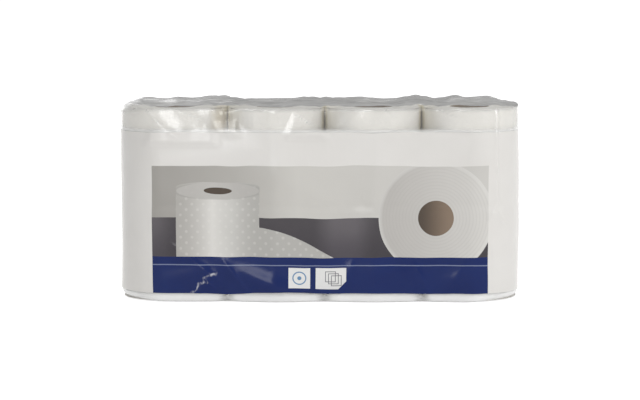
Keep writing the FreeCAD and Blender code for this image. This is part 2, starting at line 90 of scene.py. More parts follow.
COLUMN_X = [film_low[0] + FILM_OUTSIDE + PRESSED_WIDTH / 2]
for place in range(1, COLUMNS):
    before = PRESSED_WIDTH / 2 if place == 1 else ROLL_RADIUS
    COLUMN_X.append(COLUMN_X[-1] + before + ROLL_GAP + ROLL_RADIUS)
PRESSED_REACH = PRESSED_WIDTH / 2 - PRESSED_RADIUS
LEFT_END = COLUMN_X[0] - PRESSED_REACH
RIGHT_END = COLUMN_X[-1]
ROW_MIDDLE = (LEFT_END + RIGHT_END) / 2

# The skin that is drawn: how far it lies outside the rolls, and its lowest and highest level
FILM_SKIN = 1.1
BASE_LEVEL = film_low[2] + 0.2
TOP_LEVEL = ROLL_TOP + 1.1
# The two faces of the ink outside that skin
INK_BACK = 0.25
INK_FACE = 0.5
# Distance of the skin's vertices
GRID_STEP = 1.8
# How far neighbouring rolls bulge to meet, and how square their pressed sides are: 2 is round
CONTACT_BULGE = 0.145
SQUEEZE = 2.6
# How far the edge of a roll is rounded, and the points and rings that it is made of
ROLL_EDGE = 1.6
ROLL_POINTS = 180
SEEN_RINGS, HIDDEN_RINGS, SIDE_RINGS = 60, 8, 26
CORE_POINTS = 72
# How near vertices are joined, in metres: across the skin, and in the finer pieces
FILM_MERGE = 0.00001
FINE_MERGE = 0.0000001
UP = np.array([0.0, 0.0, 1.0])


# Points, soft steps and noise


def joined(*axes):
    """Points from their coordinates, of which some may be plain numbers."""
    return np.stack(np.broadcast_arrays(*axes), axis=-1)


def smooth(t):
    t = np.clip(t, 0.0, 1.0)
    return t * t * (3 - 2 * t)


def ramp(value, start, stop):
    """0 before start, 1 after stop and a soft step between."""
    return smooth((value - start) / (stop - start))


def bell(value, middle, width, power=2):
    """1 at the middle, fading to 0 on both sides of it."""
    return np.exp(-(((value - middle) / width) ** power))


LATTICE_SIZE = 32
LATTICE = np.random.default_rng(7).random((LATTICE_SIZE,) * 3) * 2 - 1


def noise(points):
    """Soft noise between -1 and 1 at an array of points, with features about one unit across."""
    cell = np.floor(points).astype(int)
    part = smooth(points - cell)
    total = np.zeros(points.shape[:-1])
    for corner in np.ndindex(2, 2, 2):
        weight = np.ones(points.shape[:-1])
        for axis in range(3):
            weight *= part[..., axis] if corner[axis] else 1 - part[..., axis]
        at = (cell + corner) % LATTICE_SIZE
        total += weight * LATTICE[at[..., 0], at[..., 1], at[..., 2]]
    return total


def crumple(points, length, seed, folds=5):
    """Flat facets that meet at sharp ridges, as in creased film, between about -1 and 1."""
    random = np.random.default_rng(seed)
    total = np.zeros(points.shape[:-1])
    bend = noise(points / (length * 1.7) + seed) * 0.9
    for _ in range(folds):
        heading = random.normal(size=3)
        heading /= np.linalg.norm(heading)
        phase = points @ heading / (length * random.uniform(0.7, 1.6)) + bend + random.random()
        total += np.abs((phase % 2.0) - 1.0) - 0.5
    return total * 2 / folds


# Plan outline of the wrap


def dip_arcs():
    """The arcs on which the film sags between two rolls: centre, ends in x and depth of the centre."""
    circles = [(COLUMN_X[0] + PRESSED_REACH, PRESSED_RADIUS)]
    circles += [(x, ROLL_RADIUS) for x in COLUMN_X[1:]]
    arcs = []
    for (near_x, near_radius), (far_x, far_radius) in zip(circles, circles[1:]):
        span = far_x - near_x
        near_reach = near_radius + DIP_RADIUS
        far_reach = far_radius + DIP_RADIUS
        along = (near_reach**2 - far_reach**2 + span**2) / (2 * span)
        depth = math.sqrt(near_reach**2 - along**2)
        start = near_x + along * near_radius / near_reach
        stop = far_x - (span - along) * far_radius / far_reach
        arcs.append((near_x + along, depth, start, stop))
    return arcs


DIP_ARCS = dip_arcs()


def half_depth(x):
    """Half of the rolls' depth at x between the two ends, with the film's sag between the columns."""
    depth = np.full_like(x, PRESSED_RADIUS)
    for column in COLUMN_X[1:]:
        near = np.abs(x - column) < ROLL_RADIUS
        depth = np.where(near, np.sqrt(np.maximum(ROLL_RADIUS**2 - (x - column) ** 2, 0)), depth)
    for centre, centre_depth, start, stop in DIP_ARCS:
        inside = (x > start) & (x < stop)
        sag = centre_depth - np.sqrt(np.maximum(DIP_RADIUS**2 - (x - centre) ** 2, 0))
        depth = np.where(inside, sag, depth)
    return depth


# u at the two tips of the pack, see plan
LEFT_TIP = LEFT_END - PRESSED_RADIUS * math.pi / 2
RIGHT_TIP = RIGHT_END + ROLL_RADIUS * math.pi / 2


def plan(u):
    """Front half of the outline: point and outward direction at u.

    u is x along the front, and goes on as a length round the two ends to the pack's middle plane.
    """
    x = np.clip(u, LEFT_END, RIGHT_END)
    depth = half_depth(x)
    slope = (half_depth(x + 0.01) - half_depth(x - 0.01)) / 0.02
    slope = np.where((x <= LEFT_END) | (x >= RIGHT_END), 0, slope)
    normal = joined(-slope, -1.0)
    normal /= np.linalg.norm(normal, axis=-1, keepdims=True)
    point = joined(x, -depth)
    left = (LEFT_END - u) / PRESSED_RADIUS
    right = (u - RIGHT_END) / ROLL_RADIUS
    for turn, centre, radius, side in (
        (left, LEFT_END, PRESSED_RADIUS, -1),
        (right, RIGHT_END, ROLL_RADIUS, 1),
    ):
        round_end = (turn > 0)[..., None]
        across = np.sin(np.maximum(turn, 0)) * side
        back = -np.cos(np.maximum(turn, 0))
        normal = np.where(round_end, joined(across, back), normal)
        point = np.where(round_end, joined(centre + radius * across, radius * back), point)
    return point, normal


def front_columns():
    """u of the wrap's columns of vertices, from the left tip over the front to the right tip."""
    stops = (LEFT_TIP, LEFT_END, RIGHT_END, RIGHT_TIP)
    left, front, right = (
        np.linspace(start, stop, round((stop - start) / GRID_STEP) + 1)
        for start, stop in zip(stops, stops[1:])
    )
    return np.concatenate([left[:-1], front, right[1:]])


# x of the gaps between the columns
VALLEY_X = [COLUMN_X[0] + PRESSED_WIDTH / 2] + [arc[0] for arc in DIP_ARCS[1:]]


def valley(x, width):
    """1 where the film lies over the gap between two columns, fading to 0 at width."""
    return sum(bell(x, middle, width) for middle in VALLEY_X)


# Creases that stand out on the front: start and end in x and z, width and height
FRONT_CREASES = [
    ((-143, 194), (-116, 184), 1.6, 0.9),
    ((-174, 195), (-157, 176), 2.4, 1.2),
    ((-157, 176), (-140, 166), 2.2, 0.8),
    ((-108, 196), (-100, 188), 1.3, 0.8),
    ((-26, 191), (-8, 179), 1.5, 1.1),
    ((-62, 196), (-40, 190), 1.6, 0.5),
    ((64, 196), (78, 184), 1.5, 0.5),
    ((118, 195), (140, 186), 1.6, 0.6),
    ((175, 196), (177, 98), 1.7, 2.4),
    ((177, 100), (170, 84), 1.6, 1.6),
    ((176, 92), (184, 78), 1.5, 1.4),
    ((-113, 36), (-131, 9), 2.0, 0.8),
    ((-118, 26), (-106, 14), 1.8, 1.2),
    ((-150, 60), (-96, 18), 3.2, 1.0),
    ((-98, 44), (-70, 6), 3.0, 1.1),
    ((-10, 44), (-36, 6), 3.2, 1.0),
    ((34, 42), (18, 4), 2.6, 1.1),
    ((96, 40), (112, 4), 2.8, 1.0),
    ((150, 50), (128, 6), 3.2, 0.9),
]

# The same on the back
BACK_CREASES = [
    ((60, 192), (20, 150), 1.8, 1.6),
    ((61, 192), (98, 158), 1.8, 1.4),
    ((58, 98), (8, 106), 1.6, 1.2),
    ((66, 60), (122, 44), 1.6, 1.3),
    ((60, 30), (22, 6), 1.8, 1.2),
    ((-140, 192), (-110, 130), 2.0, 1.7),
    ((-152, 18), (-120, 72), 2.0, 1.5),
    ((-62, 186), (-20, 122), 2.2, 1.4),
    ((-30, 18), (-66, 76), 2.0, 1.5),
    ((152, 186), (176, 122), 2.0, 1.6),
    ((118, 18), (168, 62), 2.0, 1.6),
    ((-184, 150), (-176, 60), 1.6, 1.4),
    ((-104, 196), (-92, 176), 1.6, 1.2),
    ((104, 196), (92, 174), 1.6, 1.2),
]

# Slack facets under the rim: middle and half width in x, level of the foot, and height
FRONT_TENTS = [
    (-139, 34, 163, 2.6),
    (-94, 12, 172, 1.0),
    (-14, 19, 170, 1.6),
    (44, 24, 178, 0.4),
    (136, 26, 176, 0.4),
]


def front_tents(x, z):
    """Height of the slack facets under the rim, which narrow towards it."""
    total = np.zeros_like(x)
    for middle, half, foot, height in FRONT_TENTS:
        rise = np.clip((TOP_LEVEL - z) / (TOP_LEVEL - foot), 0, 1)
        side = np.abs(x - middle) + 0.35 * (z - foot)
        total += height * rise * ramp(z, foot - 8, foot) * (1 - ramp(side, half - 4, half + 7))
    return total


# How much wider a crease is on its wide flank
WIDE_FLANK = 3.2

# Soft swells of slack film on the front, and the facets along the crease in the band: middle in x
# and z, half length and half width, slope in degrees, and height
FRONT_SWELLS = [
    (-140, 25, 30, 9, 14, 1.0),
    (-109, 26.5, 6, 3.6, 30, 0.9),
    (-115, 18, 5.5, 3.4, 38, 0.85),
    (-122, 10.5, 6.5, 3.4, 22, 0.85),
    (-58, 21, 30, 9, -24, 1.8),
    (20, 24, 30, 10, 6, 1.0),
    (74, 29, 30, 9, -9, 0.9),
    (140, 22, 34, 10, 5, 1.0),
    (-128, 104, 40, 22, 60, 1.4),
    (-20, 118, 44, 16, -30, 1.2),
    (66, 92, 40, 16, 48, 1.2),
    (-100, 152, 40, 14, 10, 0.7),
    (128, 152, 36, 14, -12, 0.6),
]


def front_swells(x, z):
    """Height of the swells at a point of the front."""
    total = np.zeros_like(x)
    for middle_x, middle_z, half_length, half_width, slope, height in FRONT_SWELLS:
        turn = math.radians(slope)
        along = (x - middle_x) * math.cos(turn) + (z - middle_z) * math.sin(turn)
        across = (z - middle_z) * math.cos(turn) - (x - middle_x) * math.sin(turn)
        total += height * np.exp(-((along / half_length) ** 2) - (across / half_width) ** 2)
    return total


def soft_floor(value, level, bend=0.04):
    """The value, kept above the level with a rounded bend."""
    above = value - level
    return level + (above + np.sqrt(above**2 + bend)) / 2


def lap_at(x, y, edge):
    """1 on the lap down the back, with edges of this width."""
    across = ramp(x, LAP_LEFT - 1, LAP_LEFT - 1 + edge) * (1 - ramp(x, LAP_RIGHT, LAP_RIGHT + edge))
    return across * ramp(y, 5, 20)


def named_creases(creases, x, z):
    """Height of the listed creases at a point of the front or back."""
    total = np.zeros_like(x)
    for (x0, z0), (x1, z1), width, height in creases:
        along = np.array([x1 - x0, z1 - z0], float)
        length = np.linalg.norm(along)
        along /= length
        run = (x - x0) * along[0] + (z - z0) * along[1]
        off = (x - x0) * along[1] - (z - z0) * along[0]
        starts = ramp(run, -width * 2, width * 3)
        stops = 1 - ramp(run, length - width * 4, length + width * 2)
        # one flank is steep and the other runs out wide, as where film doubles over
        flank = np.where(off > 0, off / (width * WIDE_FLANK), -off / width)
        total += height * starts * stops * np.exp(-flank)
    return total


# Size of the film's slack: long waves and ripples on the sides, and waves on top
SIDE_WAVES, SIDE_RIPPLES = np.array([34.0, 34.0, 60.0]), 13.0
TOP_WAVES = np.array([34.0, 40.0, 60.0])
# Length and seed of the folds, and of the finer ones between them
SIDE_FOLDS, SIDE_FINE_FOLDS = (15.0, 3), (7.0, 5)
TOP_FOLDS, TOP_FINE_FOLDS = (19.0, 11), (8.0, 13)
BASE_FOLDS = (12.0, 17)
# How far the film stands off on the whole, and how low it may lie
SIDE_STAND, SIDE_LOWEST = 0.35, -0.75
TOP_STAND, TOP_LOWEST = 1.1, -0.25
# How far the film sinks into a core, and the radius of the hollow
CORE_SAG, CORE_SAG_RADIUS = 1.9, 17.0
# Width of the step at the edge of a flap
FLAP_STEP = 1.2


def side_relief(points):
    """How far the film stands off the taut outline on the sides, in millimetres."""
    x, y, z = points[..., 0], points[..., 1], points[..., 2]
    front, back = ramp(-y, 0, 25), ramp(y, 0, 25)
    below_top, above_base = ROLL_TOP - z, z - ROLL_BASE

    waves, ripples = noise(points / SIDE_WAVES), noise(points / SIDE_RIPPLES + 9)
    soft = (0.75 + 0.45 * back) * waves + 0.16 * ripples
    # sharp folds gather at the rims and the ends, and the left tip is taut
    edge = (0.75 - 0.45 * front) * np.exp(-below_top / 15) + 0.6 * np.exp(-above_base / 11)
    ends = ramp(np.abs(x - ROW_MIDDLE), 150, 195) * 0.25
    folds = crumple(points * np.array([1.0, 1.0, 0.55]), *SIDE_FOLDS)
    folds = folds * (edge + ends + 0.10 + 0.22 * back)
    fine = crumple(points * np.array([1.0, 1.0, 0.6]), *SIDE_FINE_FOLDS) * edge * (0.35 - 0.2 * front)
    slack = 1 - 0.65 * ramp(LEFT_END - x, 0, 30)
    pleats = 0.7 * np.cos(x * 0.9) - 0.2
    gathers = valley(x, 15.0) * np.exp(-below_top / 20) * pleats * (1 - 0.8 * front)

    seam = -0.25 * bell(z, LAYER_LEVEL, 4)
    lap = lap_at(x, y, 1.5) * 0.45
    named = front * (named_creases(FRONT_CREASES, x, z) + front_tents(x, z) + front_swells(x, z))
    named = named + back * named_creases(BACK_CREASES, x, z)
    loose = SIDE_STAND + soft + (folds + fine) * slack + gathers + seam + lap + named
    return soft_floor(loose, SIDE_LOWEST)


# Where the film stands up on top: middle in x, width and height
TOP_HUMPS = [
    (-182, 17, 4.0),
    (-150, 14, 2.0),
    (-110, 24, 4.2),
    (-22, 26, 2.2),
    (38, 30, 2.4),
    (99, 17, 3.8),
    (140, 13, 4.6),
    (170, 15, 5.6),
]


def top_humps(x, y):
    """The baggy film over the columns, higher towards the back rim."""
    total = sum(height * bell(x, middle, width) for middle, width, height in TOP_HUMPS)
    return total * (0.3 + 0.7 * ramp(y, -35, 30)) * (1 - ramp(y, 38, 52) * 0.5)


def flap_edge(x, y, side, flap_reach=FLAP_REACH):
    """How far a point lies inside the flap that is folded in over the spine towards side, in y."""
    reach = side * y - flap_reach
    half = (RIGHT_END - LEFT_END) / 2 + PRESSED_RADIUS - ROLL_RADIUS
    slant = FLAP_SLANT / (ROLL_RADIUS - FLAP_INSET + flap_reach)
    ends = np.abs(x - ROW_MIDDLE) - half + (side * y + ROLL_RADIUS - FLAP_INSET) * slant
    return -np.maximum(reach, ends)


def top_relief(points):
    """How far the film stands off the rolls' ends, in millimetres, folds and weld with it."""
    x, y = points[..., 0], points[..., 1]
    flat = points * np.array([1.0, 1.0, 0.3])
    folds = 1.3 * crumple(flat * np.array([1.0, 0.5, 1.0]), *TOP_FOLDS)
    folds = folds + 0.8 * crumple(flat, *TOP_FINE_FOLDS)
    humps = 0.7 * noise(points / TOP_WAVES + 4) + top_humps(x, y)
    pleats = 1.1 * np.abs(np.sin(x * 0.24)) + 0.4
    gathers = valley(x, 19.0) * ramp(np.abs(y), 18, 44) * pleats
    sag = sum(np.exp(-(((x - column) ** 2 + y**2) / CORE_SAG_RADIUS**2)) for column in COLUMN_X)
    front_flap, back_flap = (ramp(flap_edge(x, y, side), 0, FLAP_STEP) for side in (1, -1))
    flaps = 0.5 * front_flap + 0.4 * back_flap
    weld = bell(y, FLAP_REACH - WELD_WIDTH / 2, WELD_WIDTH / 2, 4)
    weld = weld * ramp(flap_edge(x, y, 1), -2, 2) * (0.5 + 0.2 * np.cos(x * 1.6))
    loose = TOP_STAND + folds + humps + gathers + flaps + weld - CORE_SAG * sag
    return soft_floor(loose, TOP_LOWEST)


def base_relief(points):
    """The same for the base, which is pressed flat by the pack's weight."""
    x, y = points[..., 0], points[..., 1]
    outer_flap = ramp(flap_edge(x, y, 1, BASE_FLAP_REACH), 0, FLAP_STEP)
    inner_flap = ramp(flap_edge(x, y, -1), 0, FLAP_STEP)
    return 0.12 * crumple(points, *BASE_FOLDS) + 0.25 * outer_flap + 0.2 * inner_flap


def end_weight(x):
    """0 over the row's middle and 1 at its two ends."""
    return ramp(LEFT_END + 6 - x, 0, 40) + ramp(x - RIGHT_END + 6, 0, 45)


def base_rounding(x):
    """Radius of the wrap's lower edge: small under a roll, larger in the gaps and at the squashed ends."""
    return 2.2 + 4.0 * valley(x, 11.0) + 7.0 * end_weight(x)


def top_rounding(x):
    """The same for its upper edge."""
    return 1.5 + 2.5 * valley(x, 9.0) + 4.5 * ramp(LEFT_END - x, 5, 42)


def side_frame(u, side):
    """Points of the taut outline at z 0, and outward directions, on the front (side -1) or back (1)."""
    point, normal = plan(u)
    return [joined(half[..., 0], half[..., 1] * -side, 0.0) for half in (point, normal)]


def front_skin(u, z, skin):
    """Points of the wrap's front, at this distance outside the rolls."""
    flat, facing = side_frame(u, -1)
    taut = flat + UP * z[..., None]
    base_radius = base_rounding(taut[..., 0])
    # the lower edge starts to round before the base
    low = np.clip((BASE_LEVEL + base_radius - z) / base_radius, 0, 1)
    inset = base_radius * (1 - np.sqrt(np.maximum(1 - low**2, 0)))
    lift = side_relief(taut) * ramp(z - BASE_LEVEL, 0, 8)
    return taut + facing * (skin + lift - inset)[..., None]


# Film


def film_rows():
    """Rows of the wrap from the middle of the base, up the sides, to the middle of the top.

    Each is a part of the wrap and how far along that part it is, from 0 to 1.
    """
    cap_rows = 21
    edge_rows = 6
    side_rows = round((TOP_LEVEL - BASE_LEVEL) / GRID_STEP)
    rows = [("base", 1 - n / cap_rows) for n in range(cap_rows)]
    rows += [("base_edge", n / edge_rows) for n in range(edge_rows)]
    rows += [("side", n / side_rows) for n in range(side_rows)]
    rows += [("top_edge", n / edge_rows) for n in range(edge_rows)]
    rows += [("top", n / cap_rows) for n in range(cap_rows + 1)]
    return rows


def film_row(part, share, u, side):
    """Points of one row of the wrap, on the front (side -1) or the back (side 1)."""
    flat, facing = side_frame(u, side)
    x = flat[..., 0]
    low_radius, top_radius = base_rounding(x), top_rounding(x)
    if part == "side":
        bottom = BASE_LEVEL + low_radius
        z = bottom + (TOP_LEVEL - top_radius - bottom) * share
        taut = flat + UP * z[..., None]
        return taut + facing * (FILM_SKIN + side_relief(taut))[..., None]

    on_top = part in ("top", "top_edge")
    radius, level = (top_radius, TOP_LEVEL) if on_top else (low_radius, BASE_LEVEL)
    heading, relief = (1, top_relief) if on_top else (-1, base_relief)
    if part in ("base_edge", "top_edge"):
        turn = (share if on_top else 1 - share) * math.pi / 2
        tilt = math.sin(turn) ** 2
        z = level - heading * radius * (1 - math.sin(turn))
        taut = flat + UP * z[..., None]
        out = FILM_SKIN + side_relief(taut) * (1 - tilt) - radius * (1 - math.cos(turn))
        return taut + facing * out[..., None] + UP * (heading * tilt * relief(taut))[..., None]

    rim = flat + facing * (FILM_SKIN - radius)[..., None]
    spine = joined(np.clip(x, LEFT_END, RIGHT_END), 0.0, 0.0)
    taut = rim + (spine - rim) * share + UP * level
    return taut + UP * (heading * relief(taut))[..., None]


def new_object(name, data):
    """An object of the scene."""
    made = bpy.data.objects.new(name, data)
    bpy.context.scene.collection.objects.link(made)
    return made


def new_piece(name, vertices, faces, material, smooth_faces=True):
    """A piece of the object from vertices in millimetres, riding on the pack."""
    mesh = bpy.data.meshes.new(name)
    mesh.from_pydata([tuple(v) for v in np.asarray(vertices) * MM], [], faces)
    mesh.update()
    mesh.polygons.foreach_set("use_smooth", [smooth_faces] * len(mesh.polygons))
    mesh.materials.append(material)
    piece = new_object(name, mesh)
    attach(piece, "root")
    return piece


def grid_faces(rows, columns):
    """Quads between rows of vertices, each of which is closed to a ring."""
    faces = []
    for row in range(rows - 1):
        near = row * columns
        far = near + columns
        for column in range(columns):
            after = (column + 1) % columns
            faces.append((near + column, near + after, far + after, far + column))
    return faces


def merge_close(piece, distance):
    """Joins vertices that lie on each other, drops empty faces and turns all faces outwards."""
    shape = bmesh.new()
    shape.from_mesh(piece.data)
    bmesh.ops.remove_doubles(shape, verts=shape.verts, dist=distance)
    bmesh.ops.dissolve_degenerate(shape, edges=shape.edges, dist=distance / 10)
    bmesh.ops.recalc_face_normals(shape, faces=shape.faces)
    shape.to_mesh(piece.data)
    shape.free()


def layers_of_film(points):
    """Extra layers of film at points of the wrap: flaps, weld and lap, and milky edges told as layers."""
    x, y, z = points[..., 0], points[..., 1], points[..., 2]
    on_top = ramp(z, TOP_LEVEL - 2, TOP_LEVEL - 1)
    on_base = 1 - ramp(z, BASE_LEVEL + 1, BASE_LEVEL + 2)
    back_flap, front_flap, base_flap = (
        ramp(flap_edge(x, y, side, reach), -0.5, 0.5)
        for side, reach in ((-1, FLAP_REACH), (1, FLAP_REACH), (1, BASE_FLAP_REACH))
    )
    weld = (np.abs(y - FLAP_REACH + WELD_WIDTH / 2) < WELD_WIDTH / 2) * front_flap
    ends = on_top * (back_flap + front_flap + 2 * weld) + on_base * (back_flap + base_flap)

    seal = ramp(y, 5, 20) * bell(x, (LAP_LEFT + LAP_RIGHT) / 2, 1.6)
    sides = (1 - on_top) * (1 - on_base) * (lap_at(x, y, 1.0) + 1.5 * seal)
    from_spine = np.hypot(x - np.clip(x, LEFT_END, RIGHT_END), y)
    rim = 2.5 * bell(z, TOP_LEVEL - 1, 1.8) * ramp(from_spine, 36, 44)
    hem = 17 * bell(z, BASE_LEVEL + 4.0, 4.5, 4) * (1 - 0.7 * valley(x, 6.0)) * ramp(-y, 0, 12)
    corner = 4 * ramp(z, TOP_LEVEL - 8, TOP_LEVEL - 4) * ramp(LEFT_END - x, 20, 40)

    above_print = 12.5 * ramp(-y, -1, 1) * bell(z, TITLE_TOP + 0.6, 2.0)
    at_print_end = (z > PRINT_BASE) & (z < TITLE_TOP) & (np.abs(y) < 4)
    beside_print = 9 * at_print_end * bell(y, 1.2, 1.5)
    return ends + sides + rim + hem + above_print + beside_print + corner


# What a layer of film adds to the milkiness, and the most that there is
LAYER_MILKINESS = 0.05
MILKIEST = 0.85


def mark_milkiness(piece):
    """Writes how milky the film is at each vertex, from its layers and the sharpness of its creases."""
    shape = bmesh.new()
    shape.from_mesh(piece.data)
    points = np.array([vertex.co for vertex in shape.verts]) / MM
    bend = np.zeros(len(points))
    for vertex in shape.verts:
        others = [edge.other_vert(vertex).co for edge in vertex.link_edges]
        middle = sum(others, Vector()) / len(others)
        length = sum((other - vertex.co).length for other in others) / len(others)
        bend[vertex.index] = abs((middle - vertex.co).dot(vertex.normal)) / max(length, 1e-6)
    shape.free()

    # the film stays clear where it is gathered over the seams of the front
    at_seam = np.clip(valley(points[:, 0], 5.0), 0, 1) * ramp(-points[:, 1], 15, 35)
    creased = 1.7 * np.clip(bend - 0.03, 0, 0.2) * (1 - 0.85 * at_seam)
    milkiness = np.clip(LAYER_MILKINESS * layers_of_film(points) + creased, 0, MILKIEST)
    marks = piece.data.attributes.new("milkiness", "FLOAT", "POINT")
    marks.data.foreach_set("value", milkiness)


def film_piece(material):
    """The whole wrap as one closed skin."""
    u = front_columns()
    back = u[1:-1][::-1]
    rows = film_rows()
    vertices = []
    for part, share in rows:
        vertices.append(film_row(part, share, u, -1))
        vertices.append(film_row(part, share, back, 1))
    vertices = np.concatenate(vertices)
    piece = new_piece("clear_film", vertices, grid_faces(len(rows), len(u) + len(back)), material)
    merge_close(piece, FILM_MERGE)
    mark_milkiness(piece)
    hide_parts("film_wrap")


# Print

band_low, band_high = cad("print_blue_band")
tiles_low, tiles_high = cad("print_band_tiles")

PRINT_LEFT, PRINT_RIGHT = band_low[0], band_high[0]
PRINT_BASE, BAND_TOP = band_low[2], band_high[2]
TILES_LEFT, TILES_RIGHT = tiles_low[0], tiles_high[0]
TILES_BASE, TILES_TOP = tiles_low[2], tiles_high[2]
GROUND_TOP = cad("print_picture_ground")[1][2]
TITLE_BASE = cad("print_picture_wall")[1][2]
TITLE_TOP = cad("print_title_field")[1][2]

RING_X, RING_Z, RING_RADIUS, RING_CORE = 116.0, BAND_TOP + 40.0, 58.0, 18.0
UPRIGHT_WIDTH, UPRIGHT_HEIGHT, UPRIGHT_CORNER = 84.0, 76.0, 12.0
UPRIGHT_LEFT = PRINT_LEFT + 24.0
UPRIGHT_RIGHT = UPRIGHT_LEFT + UPRIGHT_WIDTH
UPRIGHT_MIDDLE = (UPRIGHT_LEFT + UPRIGHT_RIGHT) / 2
UPRIGHT_TOP = BAND_TOP + UPRIGHT_HEIGHT
SHEET_LENGTH, SHEET_TIP = 74.0, 30.0
MOUTH_WIDTH, MOUTH_HEIGHT, MOUTH_DROP = 28.0, 7.0, 5.0
MOUTH_Z = UPRIGHT_TOP - MOUTH_DROP - MOUTH_HEIGHT / 2
TILE_GAP, TILE_CORNER, LEFT_TILE_WIDTH = 5.5, 8.0, 22.0
# Points of a whole oval, of the standing roll's crown and of the edge of its sheet
OVAL_POINTS, CROWN_POINTS, SHEET_POINTS = 180, 60, 30
# How near points of the print's mesh are joined
CUT_MERGE = 0.001


def oval_outline(x, z, half_width, half_height):
    turns = np.linspace(0, 2 * math.pi, OVAL_POINTS, endpoint=False)
    return [(x + half_width * math.cos(turn), z + half_height * math.sin(turn)) for turn in turns]
def upright_outline():
    """The standing roll with its loose sheet: sheet, right side, rounded crown and left side."""
    shoulder = UPRIGHT_TOP - UPRIGHT_CORNER / 2
    sheet = [(share, 1 - share**1.5) for share in np.linspace(1, 0, SHEET_POINTS)]
    points = [(UPRIGHT_LEFT, BAND_TOP)]
    points += [(UPRIGHT_RIGHT + SHEET_LENGTH * along, BAND_TOP + SHEET_TIP * up) for along, up in sheet]
    for turn in np.linspace(0, math.pi, CROWN_POINTS):
        across = math.copysign(abs(math.cos(turn)) ** 0.67, math.cos(turn)) * UPRIGHT_WIDTH / 2
        up = math.sin(turn) ** 0.67 * UPRIGHT_CORNER / 2
        points.append((UPRIGHT_MIDDLE + across, shoulder + up))
    return points


def box_outline(left, low, right, high):
    return [(left, low), (right, low), (right, high), (left, high)]


def print_outlines():
    """Outlines of the printed shapes in x and z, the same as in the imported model."""
    split = TILES_LEFT + LEFT_TILE_WIDTH
    return {
        "ring": oval_outline(RING_X, RING_Z, RING_RADIUS, RING_RADIUS),
        "ring_core": oval_outline(RING_X, RING_Z, RING_CORE, RING_CORE),
        "upright": upright_outline(),
        "mouth": oval_outline(UPRIGHT_MIDDLE, MOUTH_Z, MOUTH_WIDTH / 2, MOUTH_HEIGHT / 2),
        "left_tile": box_outline(TILES_LEFT, TILES_BASE, split, TILES_TOP),
        "right_tile": [
            (split + TILE_GAP, TILES_BASE),
            (TILES_RIGHT - TILE_CORNER, TILES_BASE),
            (TILES_RIGHT, TILES_BASE + TILE_CORNER),
            (TILES_RIGHT, TILES_TOP),
            (split + TILE_GAP, TILES_TOP),
        ],
        "band": box_outline(PRINT_LEFT, PRINT_BASE, PRINT_RIGHT, BAND_TOP),
        "ground": box_outline(PRINT_LEFT, BAND_TOP, PRINT_RIGHT, GROUND_TOP),
        "picture": box_outline(PRINT_LEFT, BAND_TOP, PRINT_RIGHT, TITLE_BASE),
    }


def refined(outline):
    """The outline with points along its edges, no further apart than the film's vertices."""
    points = []
    for (x0, z0), (x1, z1) in zip(outline, outline[1:] + outline[:1]):
        count = max(1, math.ceil(math.hypot(x1 - x0, z1 - z0) / GRID_STEP))
        points += [(x0 + (x1 - x0) * n / count, z0 + (z1 - z0) * n / count) for n in range(count)]
    return points


def clear_of(points, others, distance):
    """The points that are no nearer than this to any of the others."""
    near = np.array([np.min(np.hypot(*(others - point).T)) for point in points])
    return points[near > distance]


def inside(points, outline):
    """Which points lie inside the outline."""
    x, z = points[:, 0], points[:, 1]
    odd = np.zeros(len(points), bool)
    for (x0, z0), (x1, z1) in zip(outline, outline[1:] + outline[:1]):
        crosses = (z0 > z) != (z1 > z)
        if z0 != z1:
            odd ^= crosses & (x < (x1 - x0) * (z - z0) / (z1 - z0) + x0)
    return odd


def field_of(points, outlines):
    """Name of the printed field that each point is in."""
    within = {name: inside(points, outline) for name, outline in outlines.items()}
    picture = within["picture"]
    names = np.full(len(points), "title", dtype=object)
    names[picture] = "wall"
    names[within["ground"]] = "ground"
    names[picture & (within["ring"] | within["upright"])] = "paper"
    names[picture & (within["ring_core"] | within["mouth"])] = "cores"
    names[within["band"]] = "band"
    names[within["left_tile"] | within["right_tile"]] = "tiles"
    return names


def drawn(u, z):
    """Where the film's slack draws a point of the flat print to."""
    spots = joined(u, 0.0, z)
    slack = 0.8 * noise(spots / np.array([46.0, 1.0, 60.0]) + 21) + 0.35 * noise(spots / 17.0 + 27)
    sideways = 0.5 * noise(spots / np.array([60.0, 1.0, 40.0]) + 31)
    tips = ramp(np.abs(u - ROW_MIDDLE), 190, 220)
    return u + sideways * (1 - tips), z + slack - 0.6 * valley(u, 14.0)


def print_mesh(outlines):
    """Points in u and z and triangles that cover the print, cut along the outlines."""
    cuts = [refined(outline) for outline in outlines]
    cuts.append(refined(box_outline(LEFT_TIP, PRINT_BASE, RIGHT_TIP, TITLE_TOP)))
    levels = np.linspace(PRINT_BASE, TITLE_TOP, round((TITLE_TOP - PRINT_BASE) / GRID_STEP) + 1)
    grid = np.array([(u, z) for u in front_columns() for z in levels])
    grid = clear_of(grid, np.array([point for cut in cuts for point in cut]), GRID_STEP / 3)
    points = [Vector(point) for point in grid]
    edges = []
    for cut in cuts:
        start = len(points)
        points += [Vector(corner) for corner in cut]
        edges += [(start + n, start + (n + 1) % len(cut)) for n in range(len(cut))]
    flat, _, triangles, _, _, _ = delaunay_2d_cdt(points, edges, [], 0, CUT_MERGE)
    flat = np.array([tuple(point) for point in flat])
    triangles = np.array([t for t in triangles if len(t) == 3])
    u, z = flat[triangles].mean(axis=1).T
    return flat, triangles[(u > LEFT_TIP) & (u < RIGHT_TIP) & (z > PRINT_BASE) & (z < TITLE_TOP)]


